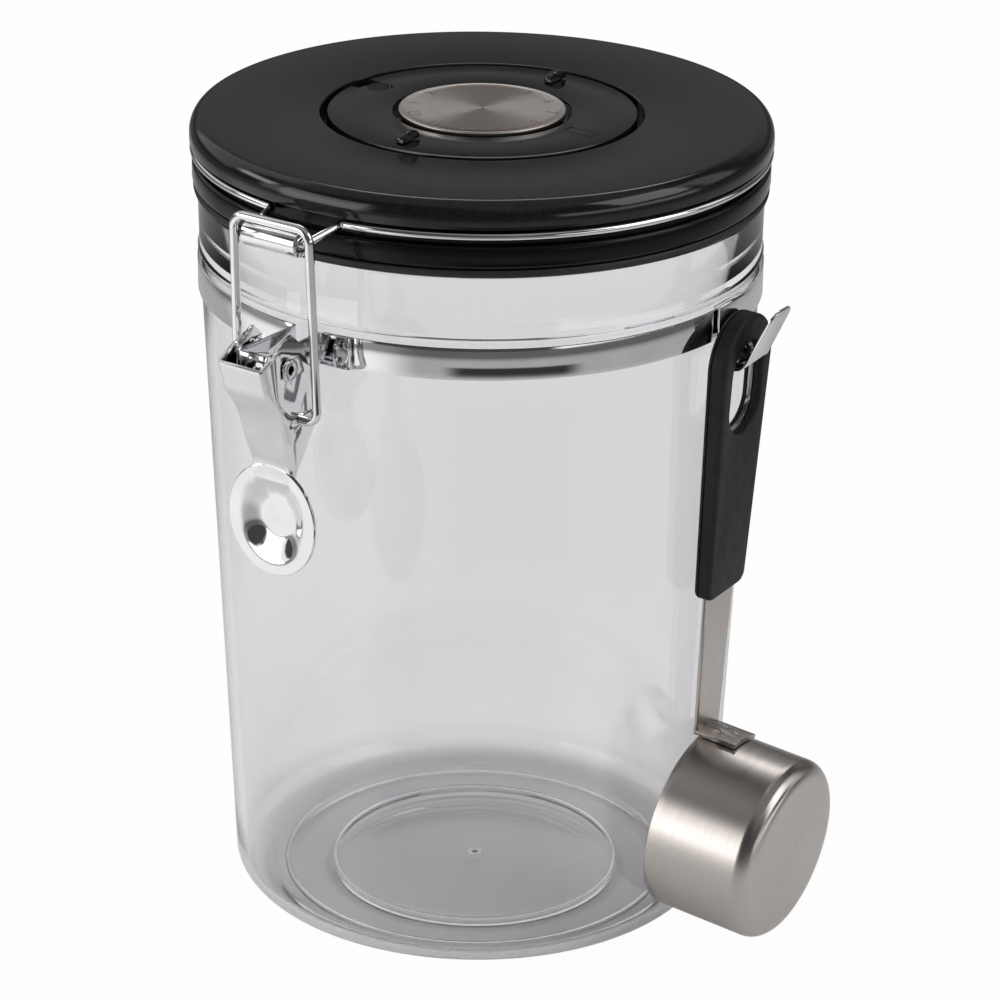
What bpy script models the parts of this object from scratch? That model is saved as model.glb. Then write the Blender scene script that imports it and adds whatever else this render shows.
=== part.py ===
"""A clear clamp lid canister: tapered jar, black lid with a date dial and a one-way valve, wire bail,
over-centre latch, rear hinge, and a measuring scoop that hangs on a hook.

Metres, +Z up. The origin is the centre of the base. The latch faces -Y and the hinge faces +Y."""

import math

import bmesh
import bpy
from mathutils import Matrix, Vector

# Clearances, and how far cutters and joined shapes reach past a face
GAP = 0.0003
RUN_GAP = 0.00015
OVER_GROOVE = 0.00005
OVERRUN = 0.001
BITE = 0.0002

# Facets round the turned pieces
ROUND_STEPS = 52
SMALL_STEPS = 28
WIRE_SIDES_RES = 2

# Jar
JAR_HEIGHT = 0.1765
JAR_WALL = 0.0025
FLOOR_THICKNESS = 0.0030
BASE_RECESS = 0.0010
HEEL_RADIUS = 0.0047
HEEL_HEIGHT = 0.0077
INNER_HEEL_RADIUS = 0.0055
SHOULDER_RADIUS = 0.0647
WALL_LEAN = 0.0059
HEEL_OUTER_RADIUS = SHOULDER_RADIUS - WALL_LEAN
FOOT_INSET = 0.0093
FOOT_RADIUS = HEEL_OUTER_RADIUS - FOOT_INSET
FOOT_WIDTH = 0.0032
BASE_RING_RADIUS = FOOT_RADIUS - FOOT_WIDTH
BASE_RING_WIDTH = 0.0119
PANEL_RADIUS = BASE_RING_RADIUS - BASE_RING_WIDTH
SHOULDER_BELOW_BAND = 0.0020
BEAD_ABOVE_BAND = 0.0027
BEAD_HALF = 0.0008
BEAD_RISE = 0.0004
NECK_STEP = 0.0004
NECK_RADIUS = SHOULDER_RADIUS + NECK_STEP
NECK_FLARE = 0.0002
RIM_ROUND = 0.0004
NUB_RADIUS = 0.0016
NUB_HEIGHT = 0.0005

# Band strap, which ends in the latch's hat-shaped bracket
BAND_HEIGHT = 0.0072
BAND_TOP_BELOW_RIM = 0.0163
BAND_THICKNESS = 0.0006
BAND_FACE = SHOULDER_RADIUS + GAP + BAND_THICKNESS
BAND_TOP = JAR_HEIGHT - BAND_TOP_BELOW_RIM
BAND_BOTTOM = BAND_TOP - BAND_HEIGHT
SHOULDER_HEIGHT = BAND_BOTTOM - SHOULDER_BELOW_BAND
BEAD_HEIGHT = BAND_TOP + BEAD_ABOVE_BAND
EAR_HALF_GAP = 0.00345
EAR_SPLAY = 0.00045
EAR_LENGTH = 0.0197
FOLD_RADIUS = 0.0009
LAP_LENGTH = 0.0084
WELD_RADIUS = 0.0006
WELD_PITCH = 0.0026
WELD_PROUD = 0.00012

# Lid: every height is counted up from the wire groove
WIRE_ABOVE_RIM = 0.0097
WIRE_HEIGHT = JAR_HEIGHT + WIRE_ABOVE_RIM
WIRE_RADIUS = 0.00095
GROOVE_INSET = 0.0004
GROOVE_RADIUS = NECK_RADIUS - GROOVE_INSET
GROOVE_WALL = 0.0017
WIRE_RING_RADIUS = GROOVE_RADIUS + WIRE_RADIUS + GAP + OVER_GROOVE
LID_OVERHANG = 0.0023
LID_RADIUS = GROOVE_RADIUS + LID_OVERHANG
LID_TOP_ABOVE_WIRE = 0.0077
LID_TOP = WIRE_HEIGHT + LID_TOP_ABOVE_WIRE
RIM_ABOVE_WIRE = 0.0016
LID_RIM_BOTTOM = WIRE_HEIGHT + RIM_ABOVE_WIRE
LID_SHOULDER = 0.0034
LID_FLAT_RADIUS = LID_RADIUS - LID_SHOULDER
LID_RIM_FACE = 0.0018
LID_WALL = 0.0020
COLLAR_OVERHANG = 0.0018
COLLAR_RADIUS = GROOVE_RADIUS + COLLAR_OVERHANG
COLLAR_BELOW_WIRE = 0.0023
COLLAR_TOP = WIRE_HEIGHT - COLLAR_BELOW_WIRE
COLLAR_SLOPE = 0.0006
COLLAR_UNDERCUT = 0.0006
GASKET_LIP = 0.0016
GASKET_OVERHANG = 0.0012
GASKET_RADIUS = NECK_RADIUS + GASKET_OVERHANG
GASKET_SLEEVE = 0.0010
PLUG_DEPTH = 0.0016
PLUG_WALL = 0.0015
TRAY_FLOOR = 0.0020
VENT_RADIUS = 0.0045

# Well in the lid and the valve cover that fills it
WELL_DEPTH = 0.0056
WELL_FLOOR_TOP = LID_TOP - WELL_DEPTH
WELL_FLOOR = 0.0015
WELL_BORE = 0.0240
COVER_RADIUS = 0.0355
COVER_GROOVE = 0.0016
WELL_RADIUS = COVER_RADIUS + COVER_GROOVE
COVER_PLATE = 0.0020
COVER_SKIRT = 0.0016
DIAL_WELL_RADIUS = 0.0205
DIAL_WELL_DEPTH = 0.0023
DIAL_WELL_FLOOR = 0.0016
NOTCH_RADIUS = 0.0034
NOTCH_DEPTH = 0.0013
NOTCH_LENGTH = 0.0058
STUD_HALF = 0.0032
STUD_HEIGHT = 0.0023
STUD_THICKNESS = 0.0025
STUD_SHANK = 0.0009
STUD_INSET = 0.0065
STUD_PLACE = COVER_RADIUS - STUD_INSET

# Date dial
DIAL_RADIUS = 0.0192
DIAL_PROUD = 0.0007
DIAL_TOP = LID_TOP + DIAL_PROUD
DIAL_THICKNESS = 0.0016
DIAL_RIM = 0.0005
HUB_RADIUS = 0.0170
STEM_RADIUS = 0.0034
STEM_HEAD_RADIUS = 0.0044
STEM_HEAD = 0.0009
CLIP_RADIUS = 0.0068
CLIP_THICKNESS = 0.0009

# One-way valve on the tray floor
SEAT_RADIUS = 0.0150
SEAT_THICKNESS = 0.0016
SEAT_WALL = 0.0014
SEAT_WALL_HEIGHT = 0.0030
FLAP_RADIUS = 0.0100
FLAP_THICKNESS = 0.0008
FLAP_LIFT = 0.0008
CAP_PLATE = 0.0010
CAP_WINDOW_RADIUS = 0.0012
CAP_WINDOW_RING = 0.0070
CAP_WINDOWS = 6
CAP_WINDOW_PHASE_SHARE = 0.17
FILTER_THICKNESS = 0.0010

# Latch, placed by distance out from the band's face and height above the band's top edge
RIVET_OUT = 0.0140
RIVET_UP = -0.0040
RIVET_RADIUS = 0.0015
RIVET_BORE = 0.0010
RIVET_HEAD_RADIUS = 0.0025
RIVET_HEAD = 0.0007
PIVOT_OUT = 0.0106
PIVOT_UP = -0.0166
KEEPER_OUT = 0.0110
KEEPER_UP = 0.0240
KEEPER_RADIUS = 0.0029
KEEPER_HALF_LENGTH = 0.0072
KEEPER_MOUTH_DEG = 52
LOOP_WIRE_RADIUS = 0.00105
LOOP_LEAN_DEG = 72
LOOP_REST_GAP = 0.0002
LOOP_TOP_HALF = 0.0102
LOOP_BOTTOM_HALF = 0.0109
LOOP_TOP_BEND = 0.0030
LOOP_BOTTOM_BEND = 0.0030
LOOP_END_HALF_GAP = 0.0006

# Lever: sheet, half width of its channel, and its outline as pairs of front and back points
LEVER_SHEET = 0.0008
LEVER_HALF = 0.0062
LEVER_NECK_HALF = 0.0054
LEVER_CORNER = 0.0013
LEVER_LENGTH = 0.0314
LEVER_DEPTH = 0.0192
MOUTH_OUT = 0.0241
MOUTH_UP = -0.0018
PANEL_INSET = 0.0006
TAB_HALF_WIDTH = 0.0120
TAB_HALF_HEIGHT = 0.0132
TAB_CENTRE_UP = -0.0412
TAB_OUT = 0.0134
TAB_DISH = 0.0026

# Wire bail: front bay for the keeper and rear bay for the hinge
FRONT_EXIT_HALF = 0.0094
FRONT_LEG_HALF = 0.0077
FRONT_BEND = 0.0016
REAR_EXIT_HALF = 0.0105
REAR_LEG_HALF = 0.0086
REAR_BEND = 0.0022
HINGE_OUT = 0.0059
HINGE_BELOW_RIM = 0.0013
HINGE_HEIGHT = JAR_HEIGHT - HINGE_BELOW_RIM
LEG_TOP_BELOW_WIRE = 0.0008
HINGE_LEG_TOP = WIRE_HEIGHT - LEG_TOP_BELOW_WIRE
WIRE_ARC_STEPS = 18

# Hinge bracket on the back of the band
BRACKET_SHEET = 0.0010
BRACKET_HALF = 0.0066
KNEE_BELOW_HINGE = 0.0082
BRACKET_KNEE = HINGE_HEIGHT - KNEE_BELOW_HINGE
KNUCKLE_TURN_DEG = 300

# Scoop hook, placed like the latch but round at the scoop's side
HOOK_ANGLE_DEG = 93.4
HOOK_SHEET = 0.0006
HOOK_HALF = 0.0058
HOOK_ARM_HALF = 0.0050
HOOK_TIP_HALF = 0.0046
HOOK_BEND = 0.0037
HOOK_BEND_UP = -0.0097
HOOK_ARM_LENGTH = 0.0140
HOOK_ARM_LEAN_DEG = 25.5
HOOK_OVERLAP = 0.0007

# Scoop, in its own frame: across, out from the handle's back, and up from the hanging point
SCOOP_LEAN_IN_DEG = 0.44
HANDLE_TOP_HALF = 0.0112
HANDLE_BOTTOM_HALF = 0.0088
HANDLE_TOP = 0.0062
HANDLE_BOTTOM = -0.0627
HANDLE_BOTTOM_ROUND = 0.0030
BACK_SHELL = 0.0009
CORE_SHEET = 0.0011
FRONT_SHELL = 0.0023
FRONT_SHELL_LOW = 0.0015
SHELL_EDGE_ROUND = 0.0009
HOLE_HALF = 0.0070
HOLE_HEIGHT = 0.0221
CORE_INSET = 0.0016
STRIP_TOP_HALF = 0.0063
STRIP_BOTTOM_HALF = 0.0050
TAB_STRIP_LENGTH = 0.0100
CUP_DROOP_DEG = 2.7
CUP_RADIUS = 0.0220
CUP_LENGTH = 0.0275
CUP_WALL = 0.0008
CUP_FILLET = 0.0045
CUP_DROP = 0.1207
CUP_ASIDE = 0.0034
DIMPLE_RADIUS = 0.0006
DIMPLE_RISE = 0.0003


def clear_scene():
    for obj in list(bpy.data.objects):
        bpy.data.objects.remove(obj, do_unlink=True)


def material(name, colour, roughness, metallic=0.0, alpha=1.0):
    """A Principled material."""
    made = bpy.data.materials.new(name)
    made.use_nodes = True
    shader = made.node_tree.nodes["Principled BSDF"]
    shader.inputs["Base Color"].default_value = (*colour, 1.0)
    shader.inputs["Roughness"].default_value = roughness
    shader.inputs["Metallic"].default_value = metallic
    shader.inputs["Alpha"].default_value = alpha
    made.diffuse_color = (*colour, alpha)
    return made


def make_materials():
    return {
        "clear": material("clear_plastic", (0.86, 0.88, 0.90), 0.05, alpha=0.35),
        "gloss_black": material("gloss_black", (0.012, 0.012, 0.013), 0.12),
        "matte_black": material("matte_black", (0.020, 0.020, 0.021), 0.45),
        "rubber": material("black_rubber", (0.018, 0.018, 0.018), 0.60),
        "chrome": material("chrome", (0.80, 0.81, 0.82), 0.06, metallic=1.0),
        "steel": material("brushed_steel", (0.62, 0.58, 0.54), 0.30, metallic=1.0),
        "felt": material("filter_felt", (0.60, 0.58, 0.54), 0.90),
        "flap": material("valve_silicone", (0.75, 0.75, 0.74), 0.50),
    }


def make_object(name, mesh, surface, smooth_deg=35):
    obj = bpy.data.objects.new(name, mesh)
    bpy.context.scene.collection.objects.link(obj)
    mesh.materials.append(surface)
    mesh.shade_smooth()
    mesh.set_sharp_from_angle(angle=math.radians(smooth_deg))
    return obj


def mesh_of(name, points, faces):
    """A mesh with its faces turned outwards."""
    mesh = bpy.data.meshes.new(name)
    mesh.from_pydata([tuple(p) for p in points], [], faces)
    shape = bmesh.new()
    shape.from_mesh(mesh)
    bmesh.ops.recalc_face_normals(shape, faces=shape.faces)
    shape.to_mesh(mesh)
    shape.free()
    return mesh


def set_origin(obj, origin):
    """Puts the object's origin on its joint axis without moving the shape."""
    obj.data.transform(Matrix.Translation(-Vector(origin)))
    obj.location = origin


def helper(obj):
    """Marks an object as a cutter or a shape that another one takes in."""
    obj.hide_render = True
    obj.display_type = "WIRE"
    return obj


def combine(obj, other, operation):
    helper(other)
    step = obj.modifiers.new(f"{operation.lower()}_{other.name}", "BOOLEAN")
    step.operation = operation
    step.solver = "EXACT"
    step.object = other


def cut(obj, other):
    combine(obj, other, "DIFFERENCE")


def join(obj, other):
    combine(obj, other, "UNION")


def arc(centre, radius, start_deg, end_deg, steps):
    """Points of an arc in a plane, both ends included."""
    found = []
    for i in range(steps + 1):
        turn = math.radians(start_deg + (end_deg - start_deg) * i / steps)
        found.append((centre[0] + radius * math.cos(turn), centre[1] + radius * math.sin(turn)))
    return found


def turned_mesh(name, profile, steps=ROUND_STEPS):
    """A closed outline of (radius, height) points spun about Z. Points on the axis become one vertex."""
    points = []
    rings = []
    for radius, height in profile:
        if radius == 0:
            rings.append([len(points)] * steps)
            points.append((0, 0, height))
            continue
        rings.append(list(range(len(points), len(points) + steps)))
        for i in range(steps):
            turn = 2 * math.pi * i / steps
            points.append((radius * math.cos(turn), radius * math.sin(turn), height))
    faces = []
    for ring, above in zip(rings, rings[1:] + rings[:1]):
        for i in range(steps):
            j = (i + 1) % steps
            corners = [ring[i], ring[j], above[j], above[i]]
            unique = list(dict.fromkeys(corners))
            if len(unique) > 2:
                faces.append(unique)
    return mesh_of(name, points, faces)


def turned(name, profile, surface, steps=ROUND_STEPS):
    return make_object(name, turned_mesh(name, profile, steps), surface)


def disc(radius, bottom, top):
    """The outline of a plain round plate."""
    return [(0, bottom), (radius, bottom), (radius, top), (0, top)]


def washer(inner, outer, bottom, top):
    return [(inner, bottom), (outer, bottom), (outer, top), (inner, top)]


def prism(name, outline, axis, low, high, surface):
    """A flat outline pushed along an axis. The outline's two numbers fill the other two axes in order."""
    points = []
    for depth in (low, high):
        for first, second in outline:
            place = [first, second]
            place.insert("xyz".index(axis), depth)
            points.append(place)
    count = len(outline)
    faces = [list(range(count)), list(range(count, 2 * count))]
    for i in range(count):
        j = (i + 1) % count
        faces.append([i, j, count + j, count + i])
    return make_object(name, mesh_of(name, points, faces), surface)


def rod(name, axis, centre, radius, low, high, surface, steps=SMALL_STEPS):
    """A round bar along an axis, centred on a point of the other two axes."""
    half_step = 180 / steps
    outline = arc(centre, radius, half_step, 360 - half_step, steps - 1)
    return prism(name, outline, axis, low, high, surface)


def unit(vector):
    return vector / vector.length


def filleted(route, radius, steps=4, closed=False):
    """A route of points whose corners are rounded by arcs."""
    points = [Vector(p) for p in route]
    count = len(points)
    made = []
    for i, corner in enumerate(points):
        if not closed and i in (0, count - 1):
            made.append(corner)
            continue
        before = points[i - 1] - corner
        after = points[(i + 1) % count] - corner
        opening = before.angle(after)
        if opening > math.radians(170):
            made.append(corner)
            continue
        reach = min(radius / math.tan(opening / 2), 0.45 * before.length, 0.45 * after.length)
        bisector = unit(unit(before) + unit(after))
        centre = corner + bisector * reach / math.cos(opening / 2)
        first = corner + unit(before) * reach - centre
        last = corner + unit(after) * reach - centre
        sweep = first.angle(last)
        for k in range(steps + 1):
            share = k / steps
            mixed = first * math.sin((1 - share) * sweep) + last * math.sin(share * sweep)
            made.append(centre + mixed / math.sin(sweep))
    return made


def wire(name, route, radius, surface, closed=False):
    """A round wire along a route, as a curve with a round bevel."""
    curve = bpy.data.curves.new(name, "CURVE")
    curve.dimensions = "3D"
    spline = curve.splines.new("POLY")
    spline.points.add(len(route) - 1)
    for point, place in zip(spline.points, route):
        point.co = (*place, 1)
    spline.use_cyclic_u = closed
    spline.use_smooth = True
    curve.bevel_depth = radius
    curve.bevel_resolution = WIRE_SIDES_RES
    curve.use_fill_caps = not closed
    curve.materials.append(surface)
    obj = bpy.data.objects.new(name, curve)
    bpy.context.scene.collection.objects.link(obj)
    return obj


def ribbon(name, route, halves, sheet, surface):
    """A sheet metal strip. The route lies in the YZ plane, and halves are its half widths along X."""
    sides = []
    for i, (y, z) in enumerate(route):
        before = Vector(route[max(i - 1, 0)])
        after = Vector(route[min(i + 1, len(route) - 1)])
        along = unit(after - before)
        normal = Vector((-along.y, along.x)) * sheet / 2
        sides.append(((y + normal.x, z + normal.y), (y - normal.x, z - normal.y)))
    points = []
    for (near, far), half in zip(sides, halves):
        for x in (-half, half):
            points.append((x, *near))
            points.append((x, *far))
    faces = [[0, 1, 3, 2]]
    for i in range(len(route) - 1):
        a = 4 * i
        b = a + 4
        for j, k in ((0, 1), (1, 3), (3, 2), (2, 0)):
            faces.append([a + j, a + k, b + k, b + j])
    last = 4 * (len(route) - 1)
    faces.append([last, last + 1, last + 3, last + 2])
    return make_object(name, mesh_of(name, points, faces), surface)


def out_at(distance):
    """The Y of a point this far out from the band's face, at the latch."""
    return -(BAND_FACE + distance)


def up_at(height):
    """The Z of a point this far above the band's top edge."""
    return BAND_TOP + height


def jar_slope():
    """How far the jar's wall leans out for each unit of height."""
    return (SHOULDER_RADIUS - HEEL_OUTER_RADIUS) / (SHOULDER_HEIGHT - HEEL_HEIGHT)


def build_jar(surfaces):
    wall_slope = jar_slope()
    heel_centre = (HEEL_OUTER_RADIUS - HEEL_RADIUS, HEEL_HEIGHT)
    inner_heel_top = FLOOR_THICKNESS + INNER_HEEL_RADIUS
    inner_at_heel = HEEL_OUTER_RADIUS + wall_slope * (inner_heel_top - HEEL_HEIGHT) - JAR_WALL
    inner_centre = (inner_at_heel - INNER_HEEL_RADIUS, inner_heel_top)
    neck_inner = NECK_RADIUS - JAR_WALL
    profile = [
        (0, 0),
        (PANEL_RADIUS, 0),
        (PANEL_RADIUS, BASE_RECESS),
        (BASE_RING_RADIUS, BASE_RECESS),
        (BASE_RING_RADIUS, 0),
        (FOOT_RADIUS, 0),
    ]
    profile += arc(heel_centre, HEEL_RADIUS, -62, 0, 5)
    profile += [
        (SHOULDER_RADIUS, SHOULDER_HEIGHT),
        (SHOULDER_RADIUS, BEAD_HEIGHT - 2 * BEAD_HALF),
        (NECK_RADIUS, BEAD_HEIGHT - BEAD_HALF),
        (NECK_RADIUS + BEAD_RISE, BEAD_HEIGHT),
        (NECK_RADIUS, BEAD_HEIGHT + BEAD_HALF),
        (NECK_RADIUS + NECK_FLARE, JAR_HEIGHT - RIM_ROUND),
        (NECK_RADIUS + NECK_FLARE - RIM_ROUND, JAR_HEIGHT),
        (neck_inner + RIM_ROUND, JAR_HEIGHT),
        (neck_inner, JAR_HEIGHT - RIM_ROUND),
        (neck_inner, BEAD_HEIGHT),
        (SHOULDER_RADIUS - JAR_WALL, SHOULDER_HEIGHT),
    ]
    profile += arc(inner_centre, INNER_HEEL_RADIUS, 0, -90, 5)
    profile += [
        (NUB_RADIUS, FLOOR_THICKNESS),
        (NUB_RADIUS / 2, FLOOR_THICKNESS + NUB_HEIGHT),
        (0, FLOOR_THICKNESS + NUB_HEIGHT),
    ]
    turned("jar_body", profile, surfaces["clear"])


def strap_route():
    """The strap's middle line seen from above: round the jar, out along one ear, across and back."""
    inner = BAND_FACE - BAND_THICKNESS / 2
    lap = inner + BAND_THICKNESS + GAP
    fold_deg = math.degrees(EAR_HALF_GAP / inner)
    lap_deg = math.degrees(LAP_LENGTH / lap)
    far = out_at(EAR_LENGTH - BAND_THICKNESS / 2)
    splay = EAR_HALF_GAP + EAR_SPLAY
    start_deg = fold_deg + math.degrees(FOLD_RADIUS / inner)
    around = arc((0, 0), inner, -90 + start_deg, 270 - fold_deg, 76)
    hat = [(-splay, far), (splay, far)]
    outer_lap = arc((0, 0), lap, -90 + fold_deg, -90 + fold_deg + lap_deg, 3)
    route = [(x, y, 0) for x, y in around + hat + outer_lap]
    fold_at = len(around) - 1
    start = route[:fold_at]
    folded = filleted(route[fold_at - 1 :], FOLD_RADIUS, 3)
    return [(p[0], p[1]) for p in start] + [(p[0], p[1]) for p in folded[1:]]


def offset_outline(route, half):
    """The closed outline of a line given a thickness."""
    left = []
    right = []
    for i, place in enumerate(route):
        here = Vector(place)
        before = Vector(route[max(i - 1, 0)])
        after = Vector(route[min(i + 1, len(route) - 1)])
        along = unit(after - before)
        normal = Vector((-along.y, along.x)) * half
        left.append(tuple(here + normal))
        right.append(tuple(here - normal))
    return left + right[::-1]


def build_band(surfaces):
    outline = offset_outline(strap_route(), BAND_THICKNESS / 2)
    band = prism("band_strap", outline, "z", BAND_BOTTOM, BAND_TOP, surfaces["chrome"])
    weld_deg = math.degrees((EAR_HALF_GAP + LAP_LENGTH * 0.55) / BAND_FACE)
    middle = BAND_BOTTOM + BAND_HEIGHT / 2
    for side in (-1, 1):
        weld = rod(
            f"band_weld_{side}",
            "y",
            (0, middle + side * WELD_PITCH / 2),
            WELD_RADIUS,
            out_at(BAND_THICKNESS + GAP + WELD_PROUD),
            out_at(-BAND_THICKNESS / 2),
            surfaces["chrome"],
            12,
        )
        weld.data.transform(Matrix.Rotation(math.radians(weld_deg), 4, "Z"))
        join(band, weld)
    hole = rod(
        "ear_hole_cutter",
        "x",
        (out_at(RIVET_OUT), up_at(RIVET_UP)),
        RIVET_RADIUS + RUN_GAP,
        -LEVER_HALF,
        LEVER_HALF,
        surfaces["chrome"],
    )
    cut(band, hole)


def build_rivet(surfaces):
    centre = (out_at(RIVET_OUT), up_at(RIVET_UP))
    seat = LEVER_HALF - PANEL_INSET + GAP
    shank = rod("latch_rivet", "x", centre, RIVET_RADIUS, -seat, seat, surfaces["chrome"])
    for side in (-1, 1):
        ends = sorted((side * (seat - BITE), side * (seat + RIVET_HEAD)))
        head = rod(f"rivet_head_{side}", "x", centre, RIVET_HEAD_RADIUS, *ends, surfaces["chrome"])
        join(shank, head)
    reach = seat + RIVET_HEAD + OVERRUN
    bore = rod("rivet_bore_cutter", "x", centre, RIVET_BORE, -reach, reach, surfaces["chrome"])
    cut(shank, bore)


# Stations of the lever's channel, top to neck: front out and up, back out and up, as shares of
# the lever's depth and length counted from the mouth's front corner
LEVER_STATION_SHARES = (
    (1.000, 0.000, 0.400, 0.166),
    (0.935, -0.128, 0.281, 0.096),
    (0.865, -0.246, 0.188, 0.013),
    (0.713, -0.376, 0.062, -0.162),
    (0.615, -0.516, 0.005, -0.357),
    (0.547, -0.643, 0.016, -0.532),
    (0.495, -0.739, 0.167, -0.707),
    (0.443, -0.835, 0.305, -0.853),
    (0.422, -0.960, 0.378, -0.960),
)
# Where the channel begins to narrow towards the neck
LEVER_TAPER_FROM = 5
# The joggled side panel: its edge inside the wall, and the inset region that runs off the wall
PANEL_EDGE_SHARES = ((0.650, 0.13), (0.650, -0.24), (0.600, -0.33), (0.450, -0.41), (0.262, -0.452))
# Where the panel's edge crosses the mouth
MOUTH_CROSSING_SHARES = (0.650, 0.0969)


def lever_point(out_share, up_share):
    """A point of the lever's side outline from its shares."""
    back = MOUTH_OUT - LEVER_DEPTH
    return (out_at(back + out_share * LEVER_DEPTH), up_at(MOUTH_UP + up_share * LEVER_LENGTH))


def channel_section(front, back, half):
    """One U-shaped section between a front and a back point of the side outline."""
    front = Vector(front)
    back = Vector(back)
    along = unit(back - front)
    rows = []
    for inset in (0, LEVER_SHEET):
        corner = max(LEVER_CORNER - inset, LEVER_SHEET / 2)
        corner = min(corner, (back - front).length / 2)
        side = half - inset
        run = []
        for share in (0, 0.5, 1):
            turn = math.radians(90 * share)
            run.append((side - corner + corner * math.sin(turn), inset + corner - corner * math.cos(turn)))
        edge = [(side, (back - front).length)] + run[::-1]
        rows.append(edge + [(-x, depth) for x, depth in edge[::-1]])
    ring = rows[0] + rows[1][::-1]
    made = []
    for x, depth in ring:
        place = front + along * depth
        made.append((x, place.x, place.y))
    return made


def loft(name, sections, surface):
    """A closed shape through sections with the same number of points."""
    count = len(sections[0])
    points = [p for section in sections for p in section]
    faces = [list(range(count)), list(range(len(points) - count, len(points)))]
    for i in range(len(sections) - 1):
        for j in range(count):
            k = (j + 1) % count
            a = i * count
            b = a + count
            faces.append([a + j, a + k, b + k, b + j])
    return make_object(name, mesh_of(name, points, faces), surface)


def thumb_tab(surface):
    """The dished oval tab: a pressed plate with a flat rim and a flat centre."""
    ring_shares = (0.0, 0.30, 0.42, 0.60, 0.80, 1.0)
    depth_shares = (1.0, 1.0, 0.88, 0.46, 0.0, 0.0)
    steps = SMALL_STEPS
    points = []
    for face in (0, 1):
        for share, depth in zip(ring_shares, depth_shares):
            out = TAB_OUT - depth * TAB_DISH - face * LEVER_SHEET
            for i in range(1 if share == 0 else steps):
                turn = 2 * math.pi * i / steps
                across = share * TAB_HALF_WIDTH * math.cos(turn)
                up = TAB_CENTRE_UP + share * TAB_HALF_HEIGHT * math.sin(turn)
                points.append((across, out_at(out), up_at(up)))
    faces = []
    layer = 1 + steps * (len(ring_shares) - 1)
    for base in (0, layer):
        for i in range(steps):
            j = (i + 1) % steps
            faces.append([base, base + 1 + i, base + 1 + j])
            for ring in range(len(ring_shares) - 2):
                a = base + 1 + ring * steps
                b = a + steps
                faces.append([a + i, a + j, b + j, b + i])
    outer = layer - steps
    for i in range(steps):
        j = (i + 1) % steps
        faces.append([outer + i, outer + j, layer + outer + j, layer + outer + i])
    return make_object("lever_tab_shape", mesh_of("lever_tab_shape", points, faces), surface)


def build_lever(surfaces):
    chrome = surfaces["chrome"]
    sections = []
    narrow_over = len(LEVER_STATION_SHARES) - 1 - LEVER_TAPER_FROM
    for i, (front_out, front_up, back_out, back_up) in enumerate(LEVER_STATION_SHARES):
        share = max(0, i - LEVER_TAPER_FROM) / narrow_over
        half = LEVER_HALF + (LEVER_NECK_HALF - LEVER_HALF) * share
        sections.append(
            channel_section(lever_point(front_out, front_up), lever_point(back_out, back_up), half)
        )
    lever = loft("latch_lever", sections, chrome)
    edge = [lever_point(*share) for share in PANEL_EDGE_SHARES]
    far_back = out_at(0)
    above = up_at(MOUTH_UP + LEVER_LENGTH)
    region = [(edge[0][0], above)] + edge[1:] + [(far_back, edge[-1][1]), (far_back, above)]
    back_line = [lever_point(row[2], row[3]) for row in LEVER_STATION_SHARES[:6]]
    mouth_at_edge = lever_point(*MOUTH_CROSSING_SHARES)
    lip = LEVER_SHEET
    grown = [(mouth_at_edge[0] - lip, mouth_at_edge[1])]
    grown += [(edge[1][0] - lip, edge[1][1]), (edge[2][0] - lip, edge[2][1] - lip)]
    grown += [(edge[3][0] - lip, edge[3][1] - lip), (edge[4][0], edge[4][1] - lip)]
    grown += [(back_line[4][0], edge[4][1] - lip)] + back_line[4::-1]
    for side in (-1, 1):
        face = LEVER_HALF - PANEL_INSET
        low, high = sorted((side * (face - LEVER_SHEET), side * (face + BITE)))
        join(lever, prism(f"panel_plate_{side}", grown, "x", low, high, chrome))
        low, high = sorted((side * face, side * (LEVER_HALF + OVERRUN)))
        cut(lever, prism(f"panel_cutter_{side}", region, "x", low, high, chrome))
    join(lever, thumb_tab(chrome))
    for place, radius, label in (
        ((RIVET_OUT, RIVET_UP), RIVET_RADIUS + RUN_GAP, "rivet"),
        ((PIVOT_OUT, PIVOT_UP), LOOP_WIRE_RADIUS + RUN_GAP, "pivot"),
    ):
        reach = LEVER_HALF + OVERRUN
        centre = (out_at(place[0]), up_at(place[1]))
        cut(lever, rod(f"lever_{label}_cutter", "x", centre, radius, -reach, reach, chrome))
    set_origin(lever, (0, out_at(RIVET_OUT), up_at(RIVET_UP)))


def loop_bar_place():
    """Where the loop's top bar rests on the keeper."""
    reach = KEEPER_RADIUS + LOOP_WIRE_RADIUS + LOOP_REST_GAP
    lean = math.radians(LOOP_LEAN_DEG)
    return (KEEPER_OUT + reach * math.cos(lean), KEEPER_UP + reach * math.sin(lean))


def build_loop(surfaces):
    bar_out, bar_up = loop_bar_place()
    pivot = Vector((0, out_at(PIVOT_OUT), up_at(PIVOT_UP)))
    climb = Vector((0, out_at(bar_out), up_at(bar_up))) - pivot
    across = Vector((1, 0, 0))
    side = [
        across * LOOP_END_HALF_GAP,
        across * LOOP_BOTTOM_HALF,
        across * LOOP_TOP_HALF + climb,
    ]
    mirrored = [Vector((-p.x, p.y, p.z)) for p in side[::-1]]
    corners = [pivot + p for p in side + mirrored]
    low = filleted(corners[:3], LOOP_BOTTOM_BEND)[:-1]
    top = filleted(corners[1:5], LOOP_TOP_BEND, 5)[1:-1]
    end = filleted(corners[3:], LOOP_BOTTOM_BEND)[1:]
    loop = wire("latch_loop", [p - pivot for p in low + top + end], LOOP_WIRE_RADIUS, surfaces["chrome"])
    loop.location = pivot


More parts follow.
